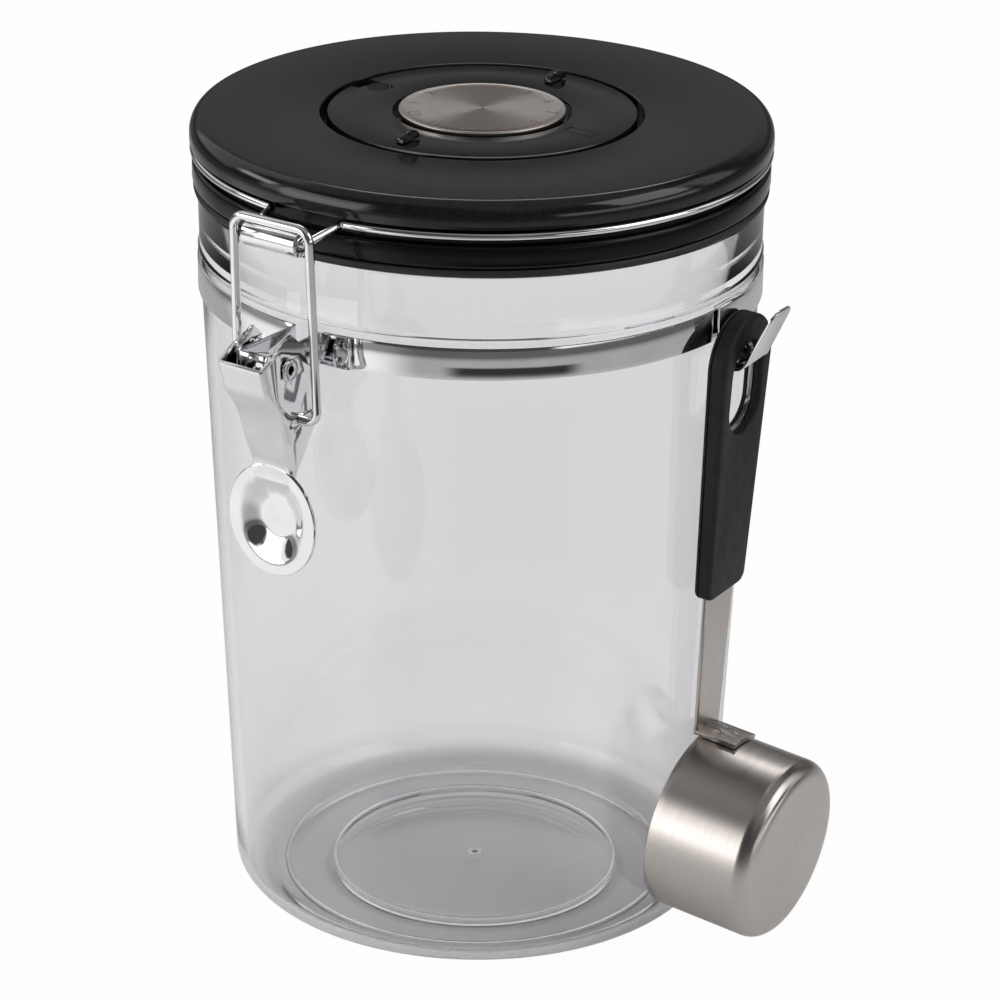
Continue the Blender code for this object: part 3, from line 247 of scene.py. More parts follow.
def prism(name, outline, axis, low, high, sharp_deg=35, paired=False):
    """An outline carried along an axis. A bent sheet's two ends are paired: quads from face to face."""
    points = []
    for depth in (low, high):
        for first, second in outline:
            place = [first, second]
            place.insert("xyz".index(axis), depth)
            points.append(place)
    count = len(outline)
    faces = [list(range(count)), list(range(count, 2 * count))]
    if paired:
        quads = [(i, i + 1, count - 2 - i, count - 1 - i) for i in range(count // 2 - 1)]
        faces = [[start + k for k in quad] for start in (0, count) for quad in quads]
    faces += between(range(count), range(count, 2 * count))
    return solid_from(name, points, faces, sharp_deg)


def rod(name, axis, centre, radius, low, high, steps=40):
    half = 180 / steps
    return prism(name, arc(centre, radius, half, 360 - half, steps - 1), axis, low, high)


def raised(base, *places):
    """Places of a profile, whose heights are given from a base."""
    return [(radius, base + height) for radius, height in places]


def normal_at(route, i):
    """The unit normal of a flat route at one of its points."""
    before = Vector(route[max(i - 1, 0)])
    after = Vector(route[min(i + 1, len(route) - 1)])
    along = (after - before).normalized()
    return Vector((-along.y, along.x))


def offset_outline(route, half):
    """The outline of a sheet whose middle line is the route."""
    left = []
    right = []
    for i, place in enumerate(route):
        normal = normal_at(route, i) * half
        left.append(tuple(Vector(place) + normal))
        right.append(tuple(Vector(place) - normal))
    return left + right[::-1]


def filleted(route, radius, steps=8):
    """A route whose corners are rounded, with its two ends as they are."""
    points = [Vector(p) for p in route]
    made = points[:1]
    for last, corner, following in zip(points, points[1:], points[2:]):
        before = last - corner
        after = following - corner
        opening = before.angle(after)
        if opening > math.radians(176):
            made.append(corner)
            continue
        reach = min(radius / math.tan(opening / 2), 0.45 * before.length, 0.45 * after.length)
        bisector = (before.normalized() + after.normalized()).normalized()
        centre = corner + bisector * reach / math.cos(opening / 2)
        start = corner + before.normalized() * reach - centre
        end = corner + after.normalized() * reach - centre
        sweep = start.angle(end)
        for share in (k / steps for k in range(steps + 1)):
            mixed = start * math.sin((1 - share) * sweep) + end * math.sin(share * sweep)
            made.append(centre + mixed / math.sin(sweep))
    return made + points[-1:]


def apply_modifiers(obj):
    """Bakes the object's modifiers into its mesh."""
    evaluated = obj.evaluated_get(bpy.context.evaluated_depsgraph_get())
    made = bpy.data.meshes.new_from_object(evaluated)
    obj.modifiers.clear()
    old = obj.data
    obj.data = made
    made.name = obj.name
    if old.users == 0:
        bpy.data.meshes.remove(old)
    return obj


def combine(obj, other, operation):
    step = obj.modifiers.new(operation.lower(), "BOOLEAN")
    step.operation = operation
    step.solver = "EXACT"
    step.object = other
    apply_modifiers(obj)
    bpy.data.objects.remove(other, do_unlink=True)


def cut(obj, tool):
    combine(obj, tool, "DIFFERENCE")


def join(obj, other):
    combine(obj, other, "UNION")


def bevelled(obj, width=None, segments=2, angle_deg=50, sharp_deg=40):
    """Rounds the edges, without a width by the sheet metal's rounding."""
    step = obj.modifiers.new("edges", "BEVEL")
    step.width = width or bpy.context.scene.canister_sizes.edge_round
    step.segments = segments
    step.limit_method = "ANGLE"
    step.angle_limit = math.radians(angle_deg)
    step.use_clamp_overlap = True
    return shade(apply_modifiers(obj), sharp_deg)


def place_mesh(obj, matrix):
    obj.data.transform(matrix)
    obj.data.update()


def finish_piece(obj, body, finish, *replaced):
    """Gives a piece its finish, the body that it rides on and the CAD node that it replaces."""
    obj.data.materials.clear()
    obj.data.materials.append(finishes()[finish])
    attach(obj, body)
    if replaced:
        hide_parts(*replaced)


def add_node(tree, kind, inputs=None, **settings):
    """A node with its settings. Each input gets a value, or the output that feeds it."""
    node = tree.nodes.new(kind)
    for label, value in settings.items():
        setattr(node, label, value)
    for socket, value in (inputs or {}).items():
        if isinstance(value, bpy.types.NodeSocket):
            tree.links.new(value, node.inputs[socket])
        else:
            node.inputs[socket].default_value = value
    return node


def maths(tree, operation, *values):
    return add_node(tree, "ShaderNodeMath", dict(enumerate(values)), operation=operation).outputs[0]


def smooth_step(tree, value, low, high):
    inputs = {"Value": value, "From Min": low, "From Max": high}
    return add_node(tree, "ShaderNodeMapRange", inputs, interpolation_type="SMOOTHSTEP").outputs["Result"]


def tree_with(name, **kinds):
    """A Geometry Nodes tree with a geometry in and out and the named inputs, and what it is given."""
    tree = bpy.data.node_groups.new(name, "GeometryNodeTree")
    face = tree.interface
    face.new_socket("Geometry", in_out="INPUT", socket_type="NodeSocketGeometry")
    for label, kind in kinds.items():
        face.new_socket(label, in_out="INPUT", socket_type=f"NodeSocket{kind}")
    face.new_socket("Geometry", in_out="OUTPUT", socket_type="NodeSocketGeometry")
    return tree, add_node(tree, "NodeGroupInput").outputs


def end_tree(tree, given, last):
    """Makes instances real, sets the material and hands the result out."""
    real = add_node(tree, "GeometryNodeRealizeInstances", {0: last.outputs[0]})
    inputs = {"Geometry": real.outputs[0], "Material": given["Finish"]}
    paint = add_node(tree, "GeometryNodeSetMaterial", inputs)
    add_node(tree, "NodeGroupOutput", {0: paint.outputs[0]})
    return tree


def wire_tree():
    """Sweeps a round wire along a path."""
    tree, given = tree_with("Wire along a path", Radius="Float", Sides="Int", Finish="Material")
    path = add_node(tree, "GeometryNodeMeshToCurve", {0: given["Geometry"]})
    circle = add_node(tree, "GeometryNodeCurvePrimitiveCircle",
                      {"Radius": given["Radius"], "Resolution": given["Sides"]})
    swept = add_node(tree, "GeometryNodeCurveToMesh",
                     {"Curve": path.outputs[0], "Profile Curve": circle.outputs[0], "Fill Caps": True})
    return end_tree(tree, given, swept)


def button_tree():
    """Sets a low round button on every point, turned the way that the point faces."""
    tree, given = tree_with("Buttons on points", Radius="Float", Rise="Float", Finish="Material")
    ball = add_node(tree, "GeometryNodeMeshUVSphere", {"Segments": 20, "Rings": 10})
    shape = add_node(tree, "ShaderNodeCombineXYZ", {0: given["Radius"], 1: given["Radius"], 2: given["Rise"]})
    facing = add_node(tree, "GeometryNodeInputNamedAttribute", {"Name": "facing"}, data_type="FLOAT_VECTOR")
    facing_out = {"Vector": facing.outputs["Attribute"]}
    align = add_node(tree, "FunctionNodeAlignRotationToVector", facing_out, axis="Z")
    spread = add_node(tree, "GeometryNodeInstanceOnPoints",
                      {"Points": given["Geometry"], "Instance": ball.outputs["Mesh"],
                       "Rotation": align.outputs[0], "Scale": shape.outputs[0]})
    return end_tree(tree, given, spread)


def run_tree(obj, tree, values):
    """Runs a tree on an object with its inputs set by name, and keeps the result as a plain mesh."""
    step = obj.modifiers.new(tree.name, "NODES")
    step.node_group = tree
    for item in tree.interface.items_tree:
        if item.item_type == "SOCKET" and item.in_out == "INPUT" and item.name in values:
            step[item.identifier] = values[item.name]
    obj.update_tag()
    bpy.context.view_layer.update()
    return apply_modifiers(obj)


def wire(name, route, radius, finish, closed=False, sides=14):
    edges = [(i, i + 1) for i in range(len(route) - 1)]
    if closed:
        edges.append((len(route) - 1, 0))
    mesh = bpy.data.meshes.new(name)
    mesh.from_pydata([tuple(p) for p in route], edges, [])
    obj = link_object(name, mesh)
    run_tree(obj, wire_tree(), {"Radius": radius, "Sides": sides, "Finish": finishes()[finish]})
    return shade(obj, 50)


def buttons(name, places, radius, rise, finish):
    """Low round marks, each a (point, facing) pair."""
    mesh = bpy.data.meshes.new(name)
    mesh.from_pydata([tuple(p) for p, _ in places], [], [])
    facing = mesh.attributes.new("facing", "FLOAT_VECTOR", "POINT")
    for i, (_, way) in enumerate(places):
        facing.data[i].vector = way
    obj = link_object(name, mesh)
    run_tree(obj, button_tree(), {"Radius": radius, "Rise": rise, "Finish": finishes()[finish]})
    obj.data.shade_smooth()
    return obj


# The middle part of a noise that a finish uses
NOISE_LOW = 0.3
NOISE_HIGH = 0.7


class Finish:
    """Builds one material's nodes."""

    def __init__(self, name, base, roughness, metallic=0.0):
        self.material = bpy.data.materials.new(name)
        self.material.use_nodes = True
        self.shader = self.material.node_tree.nodes["Principled BSDF"]
        self.set("Base Color", (*base, 1.0))
        self.set("Roughness", roughness)
        self.set("Metallic", metallic)
        self.material.diffuse_color = (*base, 1.0)
        self.base = base
        self.height = None

    def set(self, socket, value):
        self.shader.inputs[socket].default_value = value

    def drive(self, socket, value):
        self.material.node_tree.links.new(value, self.shader.inputs[socket])

    def add(self, kind, inputs=None, **settings):
        return add_node(self.material.node_tree, kind, inputs, **settings)

    def noise(self, scale, detail, stretch=(1, 1, 1), uv=False, roughness=0.5):
        source = self.add("ShaderNodeTexCoord").outputs["UV" if uv else "Object"]
        place = self.add("ShaderNodeMapping", {"Vector": source, "Scale": stretch}).outputs["Vector"]
        inputs = {"Vector": place, "Scale": scale, "Detail": detail, "Roughness": roughness}
        return self.add("ShaderNodeTexNoise", inputs).outputs["Fac"]

    def vary_gloss(self, value, low, high):
        """Varies the roughness between two values."""
        inputs = {"Value": value, "From Min": NOISE_LOW, "From Max": NOISE_HIGH,
                  "To Min": low, "To Max": high}
        self.drive("Roughness", self.add("ShaderNodeMapRange", inputs).outputs["Result"])

    def vary_tone(self, value, dark, light):
        """Varies the base colour between a darker and a lighter share of itself."""
        ramp = self.add("ShaderNodeValToRGB", {"Fac": value})
        for stop, place, share in zip(ramp.color_ramp.elements, (NOISE_LOW, NOISE_HIGH), (dark, light)):
            stop.position = place
            stop.color = (*[min(c * share, 1) for c in self.base], 1)
        self.drive("Base Color", ramp.outputs["Color"])

    def bump(self, value, depth, strength):
        inputs = {"Height": value, "Distance": depth, "Strength": strength}
        if self.height is not None:
            inputs["Normal"] = self.height
        self.height = self.add("ShaderNodeBump", inputs).outputs["Normal"]
        self.drive("Normal", self.height)


def plain_finish(name, base, roughness, gloss=None, tone=None, bumps=(), specular=None, metallic=0.0):
    """A finish that varies with noises. Each is given by its scale, its detail and two values: the roughness,
    the shares of the colour, or a bump's depth and strength."""
    made = Finish(name, base, roughness, metallic)
    if specular is not None:
        made.set("Specular IOR Level", specular)
    if gloss:
        made.vary_gloss(made.noise(*gloss[:2]), *gloss[2:])
    if tone:
        made.vary_tone(made.noise(*tone[:2]), *tone[2:])
    for bump in bumps:
        made.bump(made.noise(*bump[:2]), *bump[2:])
    return made.material


def clear_plastic(colours):
    """Clear moulded plastic. Lamps pass through it, so what stands in and behind it stays lit."""
    made = Finish("clear_plastic", tuple(colours.clear), 0.035)
    made.set("Transmission Weight", 1.0)
    made.set("IOR", 1.52)
    made.bump(made.noise(14, 2.0), 0.0002, 0.015)
    through = made.add("ShaderNodeBsdfTransparent", {"Color": (*[c**0.5 for c in colours.clear], 1)})
    shadow_ray = made.add("ShaderNodeLightPath").outputs["Is Shadow Ray"]
    mix = made.add("ShaderNodeMixShader", {0: shadow_ray, 1: made.shader.outputs[0], 2: through.outputs[0]})
    tree = made.material.node_tree
    tree.links.new(mix.outputs[0], tree.nodes["Material Output"].inputs["Surface"])
    return made.material


def brushed_steel(name, colours, stretch, scale, roughness, lines_depth, round_axis=False):
    """Brushed stainless steel whose lines run along the axis with the smallest stretch, or round the piece's
    axis by its own UV map."""
    made = Finish(name, tuple(colours.steel), roughness, 1.0)
    lines = made.noise(scale, 4.0, stretch, uv=round_axis, roughness=0.65)
    made.vary_gloss(lines, roughness * (1 - lines_depth), roughness * (1 + lines_depth))
    patches = made.noise(scale * 0.8, 3.0, stretch, uv=round_axis)
    made.vary_tone(patches, 1 - lines_depth * 0.5, 1 + lines_depth * 0.3)
    made.set("Anisotropic", 0.80)
    if round_axis:
        tangent = made.add("ShaderNodeTangent", direction_type="UV_MAP", uv_map="turn")
        made.drive("Tangent", tangent.outputs["Tangent"])
    made.bump(lines, 0.00002, lines_depth)
    return made.material


MADE = {}


def finishes():
    """The canister's materials, made once."""
    if not MADE:
        colours = bpy.context.scene.canister_finish
        gloss = tuple(colours.gloss_black)
        matte = tuple(colours.matte_black)
        MADE["clear"] = clear_plastic(colours)
        MADE["gloss"] = plain_finish("gloss_black", gloss, 0.11, (260, 4.0, 0.09, 0.14), (900, 2.0, 0.8, 1.6),
                                     ((30, 2.0, 0.0004, 0.03), (1500, 2.0, 0.00003, 0.06)))
        # Painted shade: the tray is the lid's gloss black at half its colour, darkened for the shade on the
        # collar under the lid's rim, on a slightly more matte finish
        MADE["tray"] = plain_finish("tray_black_painted_shade", tuple(c * 0.5 for c in gloss), 0.16, (220, 4.0, 0.12, 0.22),
                                    bumps=((40, 2.0, 0.0004, 0.05),), specular=0.22)
        MADE["tray"].diffuse_color = (*gloss, 1.0)
        MADE["matte"] = plain_finish("matte_black", matte, 0.46, (400, 3.0, 0.42, 0.54),
                                     (300, 3.0, 0.85, 1.25), ((2600, 2.0, 0.00006, 0.25),), specular=0.22)
        MADE["rubber"] = plain_finish("black_rubber", matte, 0.55, tone=(500, 3.0, 0.7, 1.1),
                                      bumps=((1800, 3.0, 0.00005, 0.3),))
        MADE["chrome"] = plain_finish("chrome", tuple(colours.chrome), 0.05, (300, 3.0, 0.035, 0.075),
                                      (120, 3.0, 0.94, 1.04), ((160, 2.0, 0.00010, 0.06),), metallic=1.0)
        MADE["spun"] = brushed_steel("spun_steel", colours, (0.6, 90, 1), 4, 0.33, 0.16, round_axis=True)
        MADE["cup"] = brushed_steel("brushed_cup_steel", colours, (0.5, 60, 1), 5, 0.23, 0.13,
                                    round_axis=True)
        MADE["strip"] = brushed_steel("brushed_strip_steel", colours, (40, 40, 1), 50, 0.28, 0.04)
        MADE["ink"] = plain_finish("etched_numeral", tuple(colours.numeral), 0.5, tone=(1500, 2.0, 0.8, 1.2),
                                   metallic=0.4)
        MADE["felt"] = plain_finish("filter_felt", (0.60, 0.58, 0.54), 0.9, tone=(900, 5.0, 0.75, 1.1),
                                    bumps=((1600, 5.0, 0.0002, 0.8),))
        MADE["flap"] = plain_finish("valve_silicone", (0.75, 0.75, 0.74), 0.45, tone=(400, 2.0, 0.94, 1.03),
                                    bumps=((900, 2.0, 0.00005, 0.2),))
    return MADE


def out_at(distance):
    """A place on the Y axis, given outwards from the band at the latch."""
    return -(BAND_FACE + distance)


def up_at(height):
    """A height, given from the band's top edge."""
    return BAND_TOP + height


def jar_radius(z):
    return HEEL_RADIUS + (z - HEEL_TOP) * (NECK_RADIUS - HEEL_RADIUS) / (NECK_FOOT - HEEL_TOP)


# Places on the latch, seen from the side
RIVET = (out_at(0.0140), up_at(-0.0040))
LOOP_PIVOT = (out_at(0.0106), up_at(-0.0166))
KEEPER = (out_at(0.0110), up_at(0.0240))


class CANISTER_OT_jar(bpy.types.Operator):
    """Moulds the clear jar with its heel, floor rings, gate mark and beaded neck"""

    bl_idname = "canister.jar"
    bl_label = "Jar"

    def execute(self, context):
        wall = context.scene.canister_sizes.jar_wall
        inner_top = 0.0085
        inner_round = 0.0055
        inner = (jar_radius(inner_top) - wall - inner_round, inner_top)
        lip = 0.0005
        step = 0.0131
        profile = [(0, 0), (0.0343, 0), (0.0345, 0.0009), (0.0349, 0.0010), (0.0458, 0.0010),
                   (0.0462, 0.0009), (0.0464, 0.0001), (0.0467, 0), (0.0493, 0)]
        profile += arc((HEEL_RADIUS - HEEL_ROUND, HEEL_TOP), HEEL_ROUND, -64, 0, 14)
        profile += [(jar_radius(z), z) for z in (0.02 + step * i for i in range(10))]
        profile += [(NECK_RADIUS, NECK_FOOT), (NECK_RADIUS, 0.1612), (0.06475, 0.1616), (0.0650, 0.1620),
                    (0.0651, 0.1622), (0.0653, 0.1625), (0.0655, 0.1629), (0.0653, 0.1633), (0.0651, 0.1637),
                    (0.0653, 0.1755)]
        profile += arc((0.0653 - lip, 0.1760), lip, 0, 90, 4)
        profile += arc((0.0651 - wall + lip, 0.1760), lip, 90, 180, 4)
        profile += [(0.0651 - wall, 0.1629), (NECK_RADIUS - wall, NECK_FOOT)]
        profile += [(jar_radius(z) - wall, z) for z in (0.137 - step * i for i in range(10))]
        profile += arc(inner, inner_round, 0, -90, 12)
        profile += [(0.0470, 0.0030), (0.0466, 0.0031), (0.0463, 0.00335), (0.0460, 0.0031), (0.0456, 0.0030),
                    (0.0350, 0.0030), (0.0347, 0.0031), (0.0344, 0.00335), (0.0341, 0.0031), (0.0338, 0.0030),
                    (0.0024, 0.0030), (0.0016, 0.0031), (0.0012, 0.0034), (0.0006, 0.0035), (0, 0.0035)]
        jar = lathe("clear_jar", profile, 192, 60)
        finish_piece(jar, "jar", "clear", "jar_body")
        return {"FINISHED"}


def strap_route():
    """The strap's middle line seen from above: round the jar, out along one ear, across and back."""
    inner = 0.0653
    lap = 0.0662
    fold = math.degrees(BAND_FOLD / inner)
    start = fold + math.degrees(0.0009 / inner)
    around = arc((0, 0), inner, -90 + start, 270 - fold, 300)
    far = out_at(0.0197 - 0.0003)
    web = [(-0.0039, far), (0.0039, far)]
    outer = arc((0, 0), lap, -90 + fold, -90 + fold + math.degrees(BAND_LAP / lap), 14)
    corners = [Vector((x, y, 0)) for x, y in around[-2:] + web + outer[:2]]
    bent = [(p.x, p.y) for p in filleted(corners, 0.0009, 8)[1:-1]]
    return around[:-1] + bent + outer[1:]


class CANISTER_OT_band(bpy.types.Operator):
    """Wraps the chromed band round the neck, with the latch's bracket and its spot welds"""

    bl_idname = "canister.band"
    bl_label = "Band"

    def execute(self, context):
        outline = offset_outline(strap_route(), 0.0003)
        band = prism("neck_band", outline, "z", BAND_TOP - 0.0072, BAND_TOP, 30, paired=True)
        hole = rod("ear_hole", "x", RIVET, RIVET_BORE, -EAR_REACH, EAR_REACH)
        cut(band, hole)
        notch = rod("web_notch", "y", (0, BAND_TOP), 0.0007, out_at(0.0199), out_at(0.0190), 20)
        cut(band, notch)
        bevelled(band)
        finish_piece(band, "jar", "chrome", "band_strap")
        turn = (BAND_FOLD + BAND_LAP * 0.55) / BAND_FACE
        way = Vector((math.sin(turn), -math.cos(turn), 0))
        heights = [BAND_TOP - 0.0036 + side * 0.0013 for side in (-1, 1)]
        places = [(way * 0.06648 + Vector((0, 0, height)), way) for height in heights]
        welds = buttons("band_welds", places, 0.00062, 0.00016, "chrome")
        finish_piece(welds, "jar", "chrome")
        half = [(0.0010, -0.0066), (0.0024, -0.0066), (0.0025, -0.0062), (0.0024, -0.0059), (0.0015, -0.0059)]
        rivet = half + [(r, -z) for r, z in half[::-1]]
        pin = lathe("tube_rivet", softened(rivet, 0.0003), 48, 40)
        place_mesh(pin, Matrix.Translation((0, *RIVET)) @ Matrix.Rotation(math.pi / 2, 4, "Y"))
        finish_piece(pin, "jar", "chrome", "latch_rivet")
        return {"FINISHED"}


class CANISTER_OT_hinge(bpy.types.Operator):
    """Rolls the rear hinge bracket round the lid wire's rear bar"""

    bl_idname = "canister.hinge"
    bl_label = "Rear hinge"

    def execute(self, context):
        centre = Vector((BAND_FACE + HINGE_OUT, HINGE_HEIGHT))
        curl = 0.00158
        foot = BAND_FACE + GAP + 0.0005
        knee = Vector((foot, 0.1670))
        reach = centre - knee
        touch = math.degrees(math.atan2(reach.y, reach.x) + math.pi - math.acos(curl / reach.length))
        curled = arc(centre, curl, touch, touch - 300, 48)
        straight = [(foot, 0.1530), (foot, 0.1660), tuple(knee)]
        outline = offset_outline(straight + curled, 0.0005)
        bracket = prism("hinge_plate", outline, "x", -0.0066, 0.0066, 30, paired=True)
        bevelled(bracket)
        finish_piece(bracket, "jar", "chrome", "hinge_bracket")
        spots = [(x, BAND_FACE + 0.0013, z) for x in (-0.0035, 0.0035) for z in (0.1550, 0.1582)]
        welds = buttons("hinge_welds", [(spot, (0, 1, 0)) for spot in spots], 0.00065, 0.00016, "chrome")
        finish_piece(welds, "jar", "chrome")
        return {"FINISHED"}


# The lever's side view from its top to its neck, as shares of its depth and length: the front edge, then the
# back edge
LEVER_STATIONS = (
    (1.000, 0.000, 0.400, 0.166), (0.935, -0.128, 0.281, 0.096), (0.865, -0.246, 0.188, 0.013),
    (0.713, -0.376, 0.062, -0.162), (0.615, -0.516, 0.005, -0.357), (0.547, -0.643, 0.016, -0.532),
    (0.495, -0.739, 0.167, -0.707), (0.443, -0.835, 0.305, -0.853), (0.422, -0.960, 0.378, -0.960),
)
LEVER_DEPTH = 0.0192
LEVER_LENGTH = 0.0314
PANEL_EDGE = ((0.650, 0.13), (0.650, -0.24), (0.640, -0.29), (0.600, -0.33), (0.530, -0.37), (0.450, -0.41),
              (0.262, -0.452))


def lever_point(out_share, up_share):
    out = out_at(0.0241 - LEVER_DEPTH + out_share * LEVER_DEPTH)
    return Vector((out, up_at(-0.0018 + up_share * LEVER_LENGTH)))


# Steps of a curve from one of its points to the next
SPAN_STEPS = 5


def curve_through(points):
    """A smooth curve through points, with a cubic span between each two."""
    made = []
    last = len(points) - 1
    for i in range(last):
        p0, p1, p2, p3 = points[max(i - 1, 0)], points[i], points[i + 1], points[min(i + 2, last)]
        for t in (k / SPAN_STEPS for k in range(SPAN_STEPS)):
            made.append(0.5 * (2 * p1 + (p2 - p0) * t + (2 * p0 - 5 * p1 + 4 * p2 - p3) * t * t
                               + (3 * p1 - p0 - 3 * p2 + p3) * t**3))
    made.append(points[-1])
    return made


def channel_section(front, back, half):
    """One U-shaped section of the lever's sheet between a front and a back point of its side outline."""
    deep = (back - front).length
    along = (back - front).normalized()
    rows = []
    for inset in (0, LEVER_SHEET):
        corner = min(max(0.0013 - inset, LEVER_SHEET / 2), deep / 2)
        side = half - inset
        edge = [(side, deep)] + arc((side - corner, inset + corner), corner, 0, -90, 6)
        rows.append(edge + [(-x, depth) for x, depth in edge[::-1]])
    made = []
    for x, depth in rows[0] + rows[1][::-1]:
        place = front + along * depth
        made.append((x, place.x, place.y))
    return made


def loft(name, sections, sharp_deg=35):
    """A solid through closed sections of as many points each."""
    count = len(sections[0])
    points = [p for section in sections for p in section]
    rings = [range(i, i + count) for i in range(0, len(points), count)]
    faces = [list(rings[0]), list(rings[-1])]
    for a, b in zip(rings, rings[1:]):
        faces += between(a, b)
    return solid_from(name, points, faces, sharp_deg)


def eased(value):
    """A smooth step from 0 to 1."""
    share = min(max(value, 0), 1)
    return share * share * (3 - 2 * share)


# The thumb tab from its centre to its rim: shares of the radius, and of the dish's depth there
TAB_DISH = ((0.0, 1.0), (0.20, 1.0), (0.34, 1.0), (0.37, 0.98), (0.42, 0.90), (0.50, 0.72), (0.60, 0.46),
            (0.70, 0.20), (0.77, 0.07), (0.82, 0.015), (0.86, 0.0), (0.93, 0.0), (0.985, 0.0), (1.0, 0.03))


def thumb_tab():
    """The dished oval tab with its flat rim and flat centre. Below the lever's neck the dish runs out."""
    steps = 96
    points = []
    for face in (0, 1):
        for share, depth in TAB_DISH:
            rim = 0.00012 if share == 1.0 else 0.0
            trough = eased(1 - min(max((share - 0.36) / 0.64, 0), 1))
            for i in range(1 if share == 0 else steps):
                turn = 2 * math.pi * i / steps
                under_neck = eased((40 - abs(math.degrees(turn) - 90)) / 20)
                deep = depth + (trough - depth) * under_neck
                out = 0.0134 - deep * 0.0026 - face * LEVER_SHEET + (rim if face else -rim)
                points.append((share * 0.0120 * math.cos(turn), out_at(out),
                               up_at(-0.0412) + share * 0.0132 * math.sin(turn)))
    faces = []
    sheets = []
    for base in (0, len(points) // 2):
        rings = [range(base + 1 + k * steps, base + 1 + (k + 1) * steps) for k in range(len(TAB_DISH) - 1)]
        faces += [[base, rings[0][i], rings[0][(i + 1) % steps]] for i in range(steps)]
        for a, b in zip(rings, rings[1:]):
            faces += between(a, b)
        sheets.append(rings)
    faces += between(sheets[0][-1], sheets[1][-1])
    return solid_from("tab_shape", points, faces, 30)


class CANISTER_OT_latch(bpy.types.Operator):
    """Presses the latch's lever with its thumb tab, and bends its wire loop"""

    bl_idname = "canister.latch"
    bl_label = "Latch"

    def execute(self, context):
        sizes = context.scene.canister_sizes
        fronts = curve_through([lever_point(*station[:2]) for station in LEVER_STATIONS])
        backs = curve_through([lever_point(*station[2:]) for station in LEVER_STATIONS])
        sections = []
        for i, (front, back) in enumerate(zip(fronts, backs)):
            share = max(0, i / SPAN_STEPS - 5) / 3
            sections.append(channel_section(front, back, LEVER_HALF - 0.0008 * share))
        lever = loft("clamp_lever", sections, 30)
        edge = [lever_point(*p) for p in PANEL_EDGE]
        end = edge[-1]
        above = up_at(0.0296)
        far_back = out_at(0)
        region = [(edge[0].x, above)] + [tuple(p) for p in edge[1:]] + [(far_back, end.y), (far_back, above)]
        stop = max(i for i, p in enumerate(backs[:23]) if p.y > end.y)
        top = lever_point(0.650, 0.0969)
        grown = [(top.x - LEVER_SHEET, top.y), (edge[1].x - LEVER_SHEET, edge[1].y)]
        grown += [(p.x - LEVER_SHEET, p.y - LEVER_SHEET) for p in edge[2:-1]]
        grown += [(end.x, end.y - LEVER_SHEET), (backs[stop].x, end.y - LEVER_SHEET)]
        grown += [tuple(p) for p in backs[stop::-1]]
        face = LEVER_HALF - 0.0006
        for side in (-1, 1):
            low, high = sorted((side * (face - LEVER_SHEET), side * (face + 0.0002)))
            join(lever, prism("panel", grown, "x", low, high))
            low, high = sorted((side * face, side * (LEVER_HALF + 0.001)))
            cut(lever, prism("recess", region, "x", low, high))
        join(lever, thumb_tab())
        for centre, radius in ((RIVET, RIVET_BORE), (LOOP_PIVOT, 0.0012)):
            cut(lever, rod("bore", "x", centre, radius, -EAR_REACH, EAR_REACH))
        bevelled(lever, angle_deg=55, sharp_deg=35)
        finish_piece(lever, "lever", "chrome", "latch_lever")

        reach = 0.0029 + 0.00105 + 0.0002
        lean = math.radians(72)
        bar = Vector((0, out_at(0.0110 + reach * math.cos(lean)), up_at(0.0240 + reach * math.sin(lean))))
        pivot = Vector((0, *LOOP_PIVOT))
        across = Vector((1, 0, 0))
        side = [pivot + across * 0.0006, pivot + across * 0.0109, bar + across * 0.0102]
        corners = side + [Vector((-p.x, p.y, p.z)) for p in side[::-1]]
        bend = 0.0030
        low = filleted(corners[:3], bend, 10)[:-1]
        top = filleted(corners[1:5], bend, 12)[1:-1]
        end = filleted(corners[3:], bend, 10)[1:]
        loop = wire("clamp_loop", low + top + end, sizes.loop_wire, "chrome", sides=18)
        finish_piece(loop, "loop", "chrome", "latch_loop")
        return {"FINISHED"}


class CANISTER_OT_wires(bpy.types.Operator):
    """Bends the wire round the lid and curls the keeper over its front bar"""

    bl_idname = "canister.wires"
    bl_label = "Lid wire and keeper"

    def execute(self, context):
        radius = context.scene.canister_sizes.lid_wire
        ring_radius = 0.0660
        front_turn = math.degrees(math.asin(0.0094 / ring_radius))
        rear_turn = math.degrees(math.asin(0.0105 / ring_radius))
        ring = arc((0, 0), ring_radius, -90 + front_turn, 90 - rear_turn, 90)
        right = [Vector((x, y, WIRE_HEIGHT)) for x, y in ring]
        left = [Vector((-p.x, p.y, p.z)) for p in right[::-1]]
        hinge_y = BAND_FACE + HINGE_OUT
        bay = ((0.0086, 0.1854), (0.0086, HINGE_HEIGHT), (-0.0086, HINGE_HEIGHT), (-0.0086, 0.1854))
        rear = right[-2:] + [Vector((x, hinge_y, z)) for x, z in bay] + left[:2]
        front = left[-2:] + [Vector((x, *KEEPER)) for x in (-0.0077, 0.0077)] + right[:2]
        route = right[1:-1] + filleted(rear, 0.0022, 8)[1:-1]
        route += left[1:-1] + filleted(front, 0.0016, 8)[1:-1]
        bail = wire("bail_wire", route, radius, "chrome", closed=True, sides=14)
        finish_piece(bail, "lid", "chrome", "lid_wire")
        outer = arc(KEEPER, 0.0029, 52, 308, 56)
        hollow = arc(KEEPER, 0.00125, 308, 52, 44)
        sleeve = prism("curled_keeper", outer + hollow, "x", -0.0072, 0.0072, 40)
        bevelled(sleeve)
        finish_piece(sleeve, "lid", "chrome", "keeper_sleeve")
        return {"FINISHED"}


